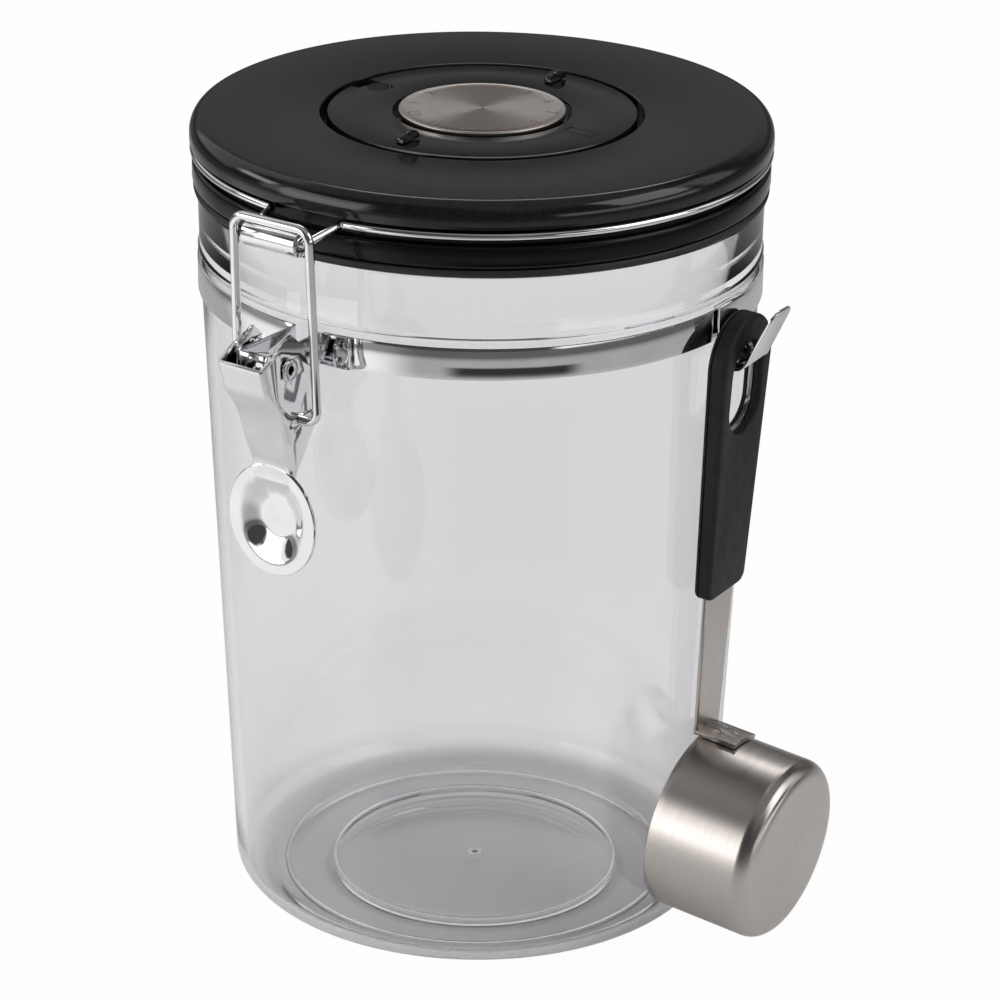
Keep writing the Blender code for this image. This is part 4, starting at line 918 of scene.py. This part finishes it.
class CANISTER_OT_lid(bpy.types.Operator):
    """Moulds the lid's cover, its tray and the gasket between the lid and the jar"""

    bl_idname = "canister.lid"
    bl_label = "Lid"

    def execute(self, context):
        rim_bottom = WIRE_HEIGHT + 0.0016
        rim_top = rim_bottom + 0.0018
        rise = LID_TOP - rim_top
        shoulder = [(0.0636 + 0.0034 * x, rim_top + rise * y) for x, y in arc((0, 0), 1, 0, 90, 18)[1:]]
        cover = raised(rim_bottom, (0.0650, 0), (0.0666, 0), (0.0669, 0.0001), (0.0670, 0.0005))
        cover += [(0.0670, rim_top), *shoulder]
        cover += raised(LID_TOP, (0.0376, 0), (0.0373, -0.00008), (0.0371, -0.0003))
        cover += raised(LID_TOP - WELL_DEPTH, (0.0371, 0), (0.0240, 0), (0.0240, -0.0015),
                        (0.0391, -0.0015))
        cover += raised(LID_TOP - COVER_SHEET, (0.0391, 0), (0.0650, 0))
        made = lathe("black_lid_cover", cover, 224, 32)
        finish_piece(made, "lid", "gloss", "lid_cover")
        low = RIM_TOP + GAP + SEAL_LIP + GAP
        tray = raised(low, (0.0045, 0), (0.0595, 0), (0.0595, -PLUG_DEPTH), (0.0610, -PLUG_DEPTH),
                      (0.0610, 0),
                      (0.0659, 0), (0.0662, 0.0002), (0.0664, 0.0005), (0.0665, 0.0009))
        tray += raised(WIRE_HEIGHT - 0.0023, (0.0665, -0.0009), (0.0664, -0.0005), (0.0661, -0.0002),
                       (0.0657, 0), (0.0647, 0))
        tray += raised(LID_TOP - DISH_DEPTH, (0.0647, 0), (0.0630, 0))
        tray += raised(low + 0.0020, (0.0630, 0), (0.0045, 0))
        made = lathe("black_lid_tray", tray, 224, 32)
        finish_piece(made, "lid", "tray", "lid_tray")
        gasket = raised(low - PLUG_DEPTH, (0.0613, 0), (0.0623, 0))
        gasket += raised(RIM_TOP + GAP, (0.0623, 0), (0.0660, 0), (0.0662, 0.0002), (0.0663, 0.0006),
                         (0.0663, 0.0010), (0.0662, 0.0014), (0.0660, SEAL_LIP), (0.0613, SEAL_LIP))
        made = lathe("lid_seal", gasket, 192, 32)
        finish_piece(made, "lid", "rubber", "lid_gasket")
        return {"FINISHED"}


# Stations of a stud from its flat face backwards: place, width and height
STUD_SHARES = ((0.5, 1.0, 1.0), (0.3, 1.0, 1.0), (0.1, 0.99, 0.985), (-0.1, 0.97, 0.95), (-0.24, 0.94, 0.88),
               (-0.36, 0.90, 0.78), (-0.45, 0.85, 0.66), (-0.5, 0.80, 0.57))


def half_round_stud(name):
    """A half-round stud with a flat face towards +X and a shank through the cover."""
    foot = LID_TOP + GAP
    sections = []
    for along, wide, tall in STUD_SHARES:
        crown = arc((0, 0), 1, 0, 180, 36)
        sections.append([(0.0025 * along, y * 0.0032 * wide, foot + z * 0.0023 * tall) for y, z in crown])
    stud = loft(name, sections, 50)
    join(stud, rod("shank", "z", (0, 0), 0.0009, LID_TOP - COVER_SHEET, foot + 0.0002))
    return bevelled(stud, 0.00022, 3)


class CANISTER_OT_valve_cover(bpy.types.Operator):
    """Moulds the round cover in the lid's well with its notch, studs and pointer"""

    bl_idname = "canister.valve_cover"
    bl_label = "Valve cover"

    def execute(self, context):
        well = LID_TOP - DISH_DEPTH
        skirt = LID_TOP - WELL_DEPTH + GAP
        profile = raised(well - 0.0016, (0.0037, 0), (0.0221, 0))
        profile += raised(LID_TOP - COVER_SHEET, (0.0221, 0), (0.0339, 0))
        profile += raised(skirt, (0.0339, 0), (COVER_RADIUS, 0))
        profile += raised(LID_TOP, (COVER_RADIUS, -0.0004), (0.0354, -0.00012), (0.0351, 0), (0.0209, 0),
                          (0.0206, -0.00012), (0.0205, -0.0004))
        profile += raised(well, (0.0205, 0), (0.0037, 0))
        cover = lathe("round_cover", profile, 160, 32)
        end = -(COVER_RADIUS - 0.0058)
        outline = arc((end, 0), 0.0034, -90, 90, 25) + [(-0.0365, 0.0034), (-0.0365, -0.0034)]
        cut(cover, prism("notch", outline, "z", LID_TOP - 0.0013, LID_TOP + 0.001))
        places = (-STUD_PLACE, STUD_PLACE)
        for place in places:
            hole = rod("stud_hole", "z", (0, place), 0.0012, LID_TOP - 0.003, LID_TOP + 0.001)
            cut(cover, hole)
        finish_piece(shade(cover, 32), "valve_cover", "gloss", "valve_cover")
        for place, end in zip(places, ("front", "rear")):
            stud = half_round_stud(f"{end}_stud")
            place_mesh(stud, Matrix.Translation((0, place, 0)))
            finish_piece(stud, "valve_cover", "gloss", f"cover_stud_{end}")
        points = []
        for z in (LID_TOP - 0.0004, LID_TOP + 0.00012):
            for inset in (0, 0.0003):
                near, far, half = 0.0232 + inset, 0.0312 - inset, 0.0018 - inset
                points += [(near, -half, z), (far, -half, z), (far, half, z), (near, half, z)]
        faces = []
        for a, b in ((0, 4), (12, 8), (8, 0), (4, 12)):
            faces += between(range(a, a + 4), range(b, b + 4))
        pointer = solid_from("pointer_mark", points, faces)
        finish_piece(pointer, "valve_cover", "gloss")
        return {"FINISHED"}


def numeral_mesh(body, height):
    """One number as a mesh about its own middle."""
    text = bpy.data.curves.new("number", "FONT")
    text.body = body
    text.size = height
    text.align_x = "CENTER"
    text.align_y = "CENTER"
    text.extrude = 0.00001
    holder = link_object("number", text)
    bpy.context.view_layer.update()
    mesh = bpy.data.meshes.new_from_object(holder.evaluated_get(bpy.context.evaluated_depsgraph_get()))
    bpy.data.objects.remove(holder, do_unlink=True)
    return mesh


class CANISTER_OT_dial(bpy.types.Operator):
    """Turns the steel date dial and etches its numbers, one to twelve"""

    bl_idname = "canister.dial"
    bl_label = "Date dial"

    def execute(self, context):
        sizes = context.scene.canister_sizes
        top = LID_TOP + 0.0007
        low = top - 0.0016
        radius = 0.0192
        edge = 0.00045
        field = 0.0182
        dial = [(0, low), (0.0190, low), (radius, low + 0.0002), (radius, top - 0.0005)]
        dial += arc((radius - edge, top - edge), edge, 10, 80, 6)
        dial.append((0.0184, top - 0.00004))
        dial += [(field * (1 - k / 10), top - 0.00012) for k in range(11)]
        made = lathe("spun_dial", dial, 192, 30)
        finish_piece(made, "date_dial", "spun", "date_dial")
        shape = bmesh.new()
        for number in range(1, 13):
            mesh = numeral_mesh(str(number), sizes.numeral_height * 1.4)
            turn = Matrix.Rotation(math.radians(144 - 30 * number), 4, "Z")
            mesh.transform(turn @ Matrix.Translation((0, sizes.numeral_ring, top - 0.00011)))
            shape.from_mesh(mesh)
        bmesh.ops.remove_doubles(shape, verts=shape.verts, dist=1e-7)
        joined = bpy.data.meshes.new("dial_numbers")
        shape.to_mesh(joined)
        shape.free()
        numbers = link_object("dial_numbers", joined)
        finish_piece(numbers, "date_dial", "ink")
        return {"FINISHED"}


class CANISTER_OT_hook(bpy.types.Operator):
    """Bends the scoop's hook over the band's top edge"""

    bl_idname = "canister.hook"
    bl_label = "Scoop hook"

    def execute(self, context):
        face = GAP + HOOK_SHEET / 2
        lean_deg = 25.5
        length = 0.0140
        bend = arc((face + HOOK_BEND, HOOK_BEND_HEIGHT), HOOK_BEND, 180, 360 - lean_deg, 30)
        root = Vector(bend[-1])
        arm = Vector((math.sin(math.radians(lean_deg)), math.cos(math.radians(lean_deg)))) * length
        route = [(-0.0007, face), (face - 0.0002, face), (face * 0.5 + 0.0002, face),
                 (face - 0.00005, face - 0.0001), (face, face - 0.0003), (face, -0.004)]
        narrow, end, corner = 0.0050, 0.0046, 0.0028
        halves = [HOOK_HALF] * (len(route) + 1)
        route += bend
        halves += [HOOK_HALF - (HOOK_HALF - narrow) * i / (len(bend) - 1) for i in range(1, len(bend))]
        steps = 36
        for share in (i / steps for i in range(1, steps + 1)):
            route.append(tuple(root + arm * share))
            half = narrow - (narrow - end) * min(share / 0.76, 1)
            left = (1 - share) * length
            if left < corner:
                half = min(half, end - corner + math.sqrt(max(corner**2 - (corner - left) ** 2, 0)))
            halves.append(half)
        sections = []
        for i, ((out, up), half) in enumerate(zip(route, halves)):
            normal = normal_at(route, i) * HOOK_SHEET / 2
            corners = ((-half, 1), (-half, -1), (half, -1), (half, 1))
            sections.append([(x, out_at(out + side * normal.x), up_at(up + side * normal.y))
                             for x, side in corners])
        hook = loft("band_hook", sections, 40)
        bevelled(hook, angle_deg=60)
        place_mesh(hook, Matrix.Rotation(HOOK_ANGLE, 4, "Z"))
        finish_piece(hook, "jar", "chrome", "scoop_hook")
        return {"FINISHED"}


def scoop_place():
    """Where the scoop hangs: its own frame is across, out from the handle's back, and up from the hook."""
    back = GAP + HOOK_SHEET + GAP
    aside = back - (GAP + HOOK_SHEET / 2 + HOOK_BEND)
    floor = HOOK_BEND_HEIGHT - math.sqrt(0.0034**2 - aside**2)
    arch = HANDLE_HOLE_HALF - math.sqrt(HANDLE_HOLE_HALF**2 - HOOK_HALF**2)
    tilt = math.atan(0.0059 / 0.1433) + math.radians(0.44)
    turn = Matrix.Rotation(HOOK_ANGLE, 4, "Z")
    hang = Matrix.Translation((0, out_at(back), up_at(floor + arch + GAP)))
    return turn @ hang @ Matrix.Rotation(tilt, 4, "X")


# Heights on the scoop's handle, from the hook
HANDLE_TOP = 0.0062
HANDLE_BOTTOM = -0.0627


def handle_outline(inset):
    top_half = 0.0112 - inset
    bottom_half = 0.0088 - inset
    bottom = HANDLE_BOTTOM + inset
    corner = max(0.0030 - inset, 0.0006)
    points = arc((0, HANDLE_TOP - inset - top_half), top_half, 0, 180, 48)
    points += arc((-bottom_half + corner, bottom + corner), corner, 180, 270, 10)
    points += arc((bottom_half - corner, bottom + corner), corner, 270, 360, 10)
    return points


def hole_outline(inset):
    half = HANDLE_HOLE_HALF + inset
    return arc((0, inset - half), half, 0, 180, 30) + arc((0, -0.0221 - inset + half), half, 180, 360, 30)


def plate_with_hole(name, stations, slope=0):
    """A plate between depths, each station giving a depth, the outline's inset and the hole's inset. All
    stations but the first slope inwards towards the bottom."""
    points = []
    faces = []
    rings = []
    for depth, inset, hole_inset in stations:
        lean = slope if rings else 0
        pair = []
        for outline in (handle_outline(inset), hole_outline(hole_inset)):
            pair.append(range(len(points), len(points) + len(outline)))
            points += [(x, lean * (HANDLE_TOP - z) - depth, z) for x, z in outline]
        rings.append(pair)
    for lower, upper in zip(rings, rings[1:]):
        for a, b in zip(lower, upper):
            faces += between(a, b)
    mesh = bpy.data.meshes.new(name)
    mesh.from_pydata(points, [], faces)
    shape = bmesh.new()
    shape.from_mesh(mesh)
    shape.verts.ensure_lookup_table()
    for pair in (rings[0], rings[-1]):
        edges = []
        for ring in pair:
            ends = zip(ring, [*ring[1:], ring[0]])
            edges += [shape.edges.get((shape.verts[v], shape.verts[w])) for v, w in ends]
        bmesh.ops.triangle_fill(shape, edges=edges, use_beauty=True, use_dissolve=False)
    shape.to_mesh(mesh)
    shape.free()
    face_outward(mesh)
    return shade(link_object(name, mesh), 30)


def rounded_stations(first, face, edge, hole_share, inward, steps):
    """Stations of a plate with a rounded edge, from a flat side at one depth to the face at another."""
    stations = [(first, 0, 0)]
    for k in range(steps + 1):
        turn = math.radians(90 * k / steps)
        inset = edge * (1 - math.cos(turn))
        stations.append((face + inward * edge * (1 - math.sin(turn)), inset, inset * hole_share))
    return stations


class CANISTER_OT_scoop(bpy.types.Operator):
    """Draws the scoop's cup, its welded strip and the two shells of its handle"""

    bl_idname = "canister.scoop"
    bl_label = "Scoop"

    def execute(self, context):
        place = scoop_place()
        edge = context.scene.canister_sizes.handle_edge
        shell = 0.0009
        core_back = shell + GAP
        core_front = core_back + ARM_SHEET
        front_back = core_front + GAP
        stations = rounded_stations(core_back, front_back + 0.0023, edge, 0.45, -1, 8)
        front = plate_with_hole("front_grip", stations, 0.0008 / (HANDLE_TOP - HANDLE_BOTTOM))
        behind = 0.001 - core_back
        cut(front, prism("nest", handle_outline(0.0013), "y", -front_back, behind))
        slot = [(0.0066, -0.0637), (0.0066, -0.0597), (-0.0066, -0.0597), (-0.0066, -0.0637)]
        cut(front, prism("slot", slot, "y", -front_back, behind))
        shade(front, 30)
        back = plate_with_hole("back_grip", rounded_stations(shell, 0, 0.0007, 0.5, 1, 6))
        core = plate_with_hole("arm_core", [(core_back, 0.0016, 0), (core_front, 0.0016, 0)])

        cup_drop = -0.1207
        cup_aside = -0.0034
        droop = math.radians(2.7)
        tab_length = 0.0100
        tab_in = CUP_RADIUS + GAP
        tab_out = tab_in + ARM_SHEET
        middle_radius = tab_in + ARM_SHEET / 2
        spread = math.degrees(math.asin(0.0050 / CUP_RADIUS))
        middle = 90 - math.degrees(math.asin(-cup_aside / middle_radius))
        strip = [(0.0063, -0.0597), (-0.0063, -0.0597)]
        strip += arc((cup_aside, cup_drop), middle_radius, middle + spread, middle - spread, 14)
        join(core, prism("strip", strip, "y", -core_front, -core_back))
        outline = arc((0, 0), tab_out, middle - spread, middle + spread, 14)
        outline += arc((0, 0), tab_in, middle + spread, middle - spread, 14)
        tab = prism("tab", outline, "y", -tab_length, tab_out * math.sin(droop))
        hang = Matrix.Translation((cup_aside, -core_back, cup_drop)) @ Matrix.Rotation(droop, 4, "X")
        place_mesh(tab, hang)
        join(core, tab)
        core.name = "arm_strip"
        bevelled(core, 0.00014)
        places = []
        for along, aside in ((0.35, 0.40), (0.35, -0.40), (0.75, 0.10)):
            turn = math.radians(90 - middle + aside * spread)
            way = Vector((math.sin(turn), 0, math.cos(turn)))
            spot = way * tab_out + Vector((0, -along * tab_length, 0))
            places.append((hang @ spot, hang.to_3x3() @ way))
        welds = buttons("arm_welds", places, 0.00075, 0.00022, "strip")

        wall = 0.0008
        inner = CUP_RADIUS - wall
        lip = wall / 2
        floor = 0.0267
        step = 0.0026
        corner = (CUP_RADIUS - CUP_ROUND, CUP_LENGTH - CUP_ROUND)
        profile = arc((CUP_RADIUS - lip, lip), lip, 180, 360, 8)
        profile += [(CUP_RADIUS, 0.002 + step * k) for k in range(9)]
        profile += arc(corner, CUP_ROUND, 0, 90, 14)
        profile += [(CUP_RADIUS * share, CUP_LENGTH) for share in (0.6, 0.3, 0)]
        profile += [(inner * share, floor) for share in (0, 0.3, 0.6)]
        profile += arc(corner, CUP_ROUND - wall, 90, 0, 12)
        profile += [(inner, 0.0228 - step * k) for k in range(9)]
        cup = lathe("steel_cup", profile)
        place_mesh(cup, hang @ Matrix.Rotation(math.pi / 2, 4, "X"))
        for obj in (front, back, core, welds, cup):
            place_mesh(obj, place)
        finish_piece(front, "scoop", "matte", "handle_front_shell")
        finish_piece(back, "scoop", "matte", "handle_back_shell")
        finish_piece(core, "scoop", "strip", "scoop_arm")
        finish_piece(welds, "scoop", "strip")
        finish_piece(cup, "scoop", "cup", "scoop_cup")
        return {"FINISHED"}


class CANISTER_OT_inner_parts(bpy.types.Operator):
    """Gives the hidden parts of the valve and the dial's hub their finishes"""

    bl_idname = "canister.inner_parts"
    bl_label = "Inner parts"

    def execute(self, context):
        parts = {"dial_hub": "matte", "dial_clip": "strip", "valve_seat": "matte", "valve_cap": "matte",
                 "valve_flap": "flap", "filter_disc": "felt"}
        for node, finish in parts.items():
            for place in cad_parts[node].material_slots:
                place.material = finishes()[finish]
        return {"FINISHED"}


def soft_box(tree, way, width, height, softness):
    """A rectangle of light in one direction of the sky, as a value from 0 to 1."""
    right = way.cross(Vector((0, 0, 1))).normalized()
    source = add_node(tree, "ShaderNodeTexCoord").outputs["Generated"]

    def toward(axis):
        dot = add_node(tree, "ShaderNodeVectorMath", {0: source, 1: axis}, operation="DOT_PRODUCT")
        return dot.outputs["Value"]

    masks = []
    for axis, half in ((right, width), (right.cross(way), height)):
        aside = maths(tree, "ABSOLUTE", toward(axis))
        masks.append(smooth_step(tree, aside, half + softness, half - softness))
    ahead = maths(tree, "GREATER_THAN", toward(way), 0)
    return maths(tree, "MULTIPLY", maths(tree, "MULTIPLY", *masks), ahead)


def around(angle_deg, elevation_deg):
    """A direction by its turn from the latch towards the scoop and its height."""
    a = math.radians(angle_deg)
    e = math.radians(elevation_deg)
    return Vector((math.sin(a) * math.cos(e), -math.cos(a) * math.cos(e), math.sin(e)))


def floor_finish():
    """White paper. The camera sees it as plain white. Mirror rays see it glow with a painted reflection:
    brighter on one side, a dark ring on another, and dimmer far out.
    """
    paper = bpy.data.materials.new("white_floor")
    paper.use_nodes = True
    tree = paper.node_tree
    matte = tree.nodes["Principled BSDF"]
    matte.inputs["Base Color"].default_value = (0.69, 0.69, 0.69, 1)
    matte.inputs["Roughness"].default_value = 0.7
    ray = add_node(tree, "ShaderNodeLightPath").outputs
    place = add_node(tree, "ShaderNodeTexCoord").outputs["Object"]
    axes = add_node(tree, "ShaderNodeSeparateXYZ", {0: place}).outputs

    def times(first, second):
        return maths(tree, "MULTIPLY", first, second)

    def plus(first, second):
        return maths(tree, "ADD", first, second)

    def step(value, low, high):
        return smooth_step(tree, value, low, high)

    x, y = axes["X"], axes["Y"]
    radius = maths(tree, "POWER", plus(times(x, x), times(y, y)), 0.5)

    def sector(angle_deg, low, high):
        """How far the floor's point lies towards one side, as a value from 0 to 1."""
        a = math.radians(angle_deg)
        toward = plus(times(x, math.sin(a)), times(y, -math.cos(a)))
        return step(maths(tree, "DIVIDE", toward, radius), low, high)

    through_ray = ray["Is Transmission Ray"]
    mirror_ray = times(ray["Is Glossy Ray"], maths(tree, "SUBTRACT", 1, through_ray))
    for_camera = times(ray["Is Camera Ray"], 0.97)
    for_through = times(through_ray, times(step(radius, 0.056, 0.080), 0.93))
    for_mirror = times(mirror_ray, step(radius, 0.15, 0.30))
    share = maths(tree, "MAXIMUM", maths(tree, "MAXIMUM", for_camera, for_through), for_mirror)
    # Painted reflection for mirror rays: a brighter sector, a dark ring where nothing stands, and a falloff
    # with distance
    painted_reflection_side = plus(times(sector(-35, 0.66, 0.90), 0.60), 0.44)
    painted_dark_ring = times(times(step(radius, 0.22, 0.27), step(radius, 0.41, 0.37)), sector(48, 0.88, 0.95))
    near = plus(times(step(radius, 0.95, 0.50), 0.70), 0.30)
    dark = maths(tree, "SUBTRACT", 1, times(plus(times(painted_dark_ring, -0.40), painted_reflection_side), near))
    white = add_node(tree, "ShaderNodeEmission",
                     {"Strength": maths(tree, "SUBTRACT", 1, times(mirror_ray, dark))})
    mix = add_node(tree, "ShaderNodeMixShader", {"Fac": share, 1: matte.outputs[0], 2: white.outputs[0]})
    tree.links.new(mix.outputs[0], tree.nodes["Material Output"].inputs["Surface"])
    return paper


# The sky's soft boxes: turn, height, half width, half height, softness of the edge, and strength
SOFT_BOXES = (
    (-32, 8, 0.42, 0.17, 0.04, 0.95),
    (-95, 30, 0.30, 0.40, 0.06, 0.55),
    (0, 88, 0.70, 0.55, 0.12, 0.22),
    (140, 24, 0.16, 0.30, 0.05, 0.8),
    (-64, 20, 0.17, 0.10, 0.03, 3.5),
    (95, 4, 0.50, 0.09, 0.05, 1.5),
    (210, 47, 0.25, 0.10, 0.05, 2.6),
    (210, 22, 0.60, 0.22, 0.10, 0.13),
)


def studio_world():
    """A white sky for the camera, an even one for matte pieces and a dark one with soft boxes for mirrors."""
    world = bpy.data.worlds.new("studio")
    world.use_nodes = True
    tree = world.node_tree
    ray = add_node(tree, "ShaderNodeLightPath").outputs
    value = 0.06
    for turn, height, wide, tall, soft, power in SOFT_BOXES:
        mask = soft_box(tree, around(turn, height), wide, tall, soft)
        value = maths(tree, "ADD", value, maths(tree, "MULTIPLY", mask, power))
    sight = maths(tree, "MAXIMUM", ray["Is Camera Ray"], ray["Is Transmission Ray"])
    plain = add_node(tree, "ShaderNodeMix", {"Factor": ray["Is Diffuse Ray"], "A": value, "B": 0.81})
    shown = add_node(tree, "ShaderNodeMix", {"Factor": sight, "A": plain.outputs["Result"], "B": 1.0})
    back = tree.nodes["Background"]
    back.inputs["Color"].default_value = (1, 1, 1, 1)
    tree.links.new(shown.outputs["Result"], back.inputs["Strength"])
    return world


def area_lamp(name, way, side, power):
    data = bpy.data.lights.new(name, "AREA")
    data.size = side
    data.energy = power
    lamp = link_object(name, data)
    lamp.location = way * 1.1 + Vector((0, 0, 0.1))
    lamp.rotation_euler = (-way).to_track_quat("-Z", "Y").to_euler()


def photo_camera(studio):
    pan, pitch, roll = studio.camera_pan, studio.camera_pitch, studio.camera_roll
    forward = Vector((math.sin(pan) * math.cos(pitch), math.cos(pan) * math.cos(pitch), -math.sin(pitch)))
    right = Vector((math.cos(pan), -math.sin(pan), 0))
    up = right.cross(forward)
    across = right * math.cos(roll) + up * math.sin(roll)
    upward = -right * math.sin(roll) + up * math.cos(roll)
    pose = Matrix((across, upward, -forward)).transposed().to_4x4()
    pose.translation = Vector((0, -studio.camera_distance, studio.camera_height))
    data = bpy.data.cameras.new("photo_camera")
    data.sensor_width = 36
    data.lens = studio.camera_lens
    camera = link_object("photo_camera", data)
    camera.matrix_world = Matrix.Rotation(studio.camera_angle, 4, "Z") @ pose
    return camera


class CANISTER_OT_studio(bpy.types.Operator):
    """Sets up the floor, the soft studio light and the camera"""

    bl_idname = "canister.studio"
    bl_label = "Studio"

    def execute(self, context):
        scene = context.scene
        studio = scene.canister_studio
        scene.view_settings.view_transform = "Standard"
        side, low = 4, -0.0004
        mesh = bpy.data.meshes.new("floor")
        corners = [(-side, -side, low), (side, -side, low), (side, side, low), (-side, side, low)]
        mesh.from_pydata(corners, [], [[0, 1, 2, 3]])
        mesh.materials.append(floor_finish())
        link_object("floor", mesh)
        scene.world = studio_world()
        area_lamp("key_lamp", around(-27, 14), 0.7, studio.key_power)
        area_lamp("fill_lamp", around(105, 35), 0.6, studio.fill_power)
        scene.camera = photo_camera(studio)
        return {"FINISHED"}


class CANISTER_PT_panel(bpy.types.Panel):
    """Lists the canister's pieces, sizes, finishes and studio"""

    bl_idname = "CANISTER_PT_panel"
    bl_label = "Clamp lid canister"
    bl_space_type = "VIEW_3D"
    bl_region_type = "UI"
    bl_category = "Canister"

    def draw(self, context):
        layout = self.layout
        scene = context.scene
        for group in (scene.canister_sizes, scene.canister_finish, scene.canister_studio):
            box = layout.box()
            for label in group.bl_rna.properties.keys():
                if label not in ("rna_type", "name"):
                    box.prop(group, label)
        for operator in OPERATORS:
            layout.operator(operator.bl_idname)


GROUPS = (CanisterSizes, CanisterFinish, CanisterStudio)
OPERATORS = (
    CANISTER_OT_studio,
    CANISTER_OT_jar,
    CANISTER_OT_band,
    CANISTER_OT_hinge,
    CANISTER_OT_latch,
    CANISTER_OT_wires,
    CANISTER_OT_lid,
    CANISTER_OT_valve_cover,
    CANISTER_OT_dial,
    CANISTER_OT_hook,
    CANISTER_OT_scoop,
    CANISTER_OT_inner_parts,
)


def register():
    for cls in (*GROUPS, *OPERATORS, CANISTER_PT_panel):
        bpy.utils.register_class(cls)
    bpy.types.Scene.canister_sizes = bpy.props.PointerProperty(type=CanisterSizes)
    bpy.types.Scene.canister_finish = bpy.props.PointerProperty(type=CanisterFinish)
    bpy.types.Scene.canister_studio = bpy.props.PointerProperty(type=CanisterStudio)


def unregister():
    del bpy.types.Scene.canister_sizes
    del bpy.types.Scene.canister_finish
    del bpy.types.Scene.canister_studio
    for cls in (CANISTER_PT_panel, *reversed(OPERATORS), *reversed(GROUPS)):
        bpy.utils.unregister_class(cls)


def main():
    register()
    for operator in OPERATORS:
        group, name = operator.bl_idname.split(".")
        getattr(getattr(bpy.ops, group), name)()


if __name__ == "__main__":
    main()
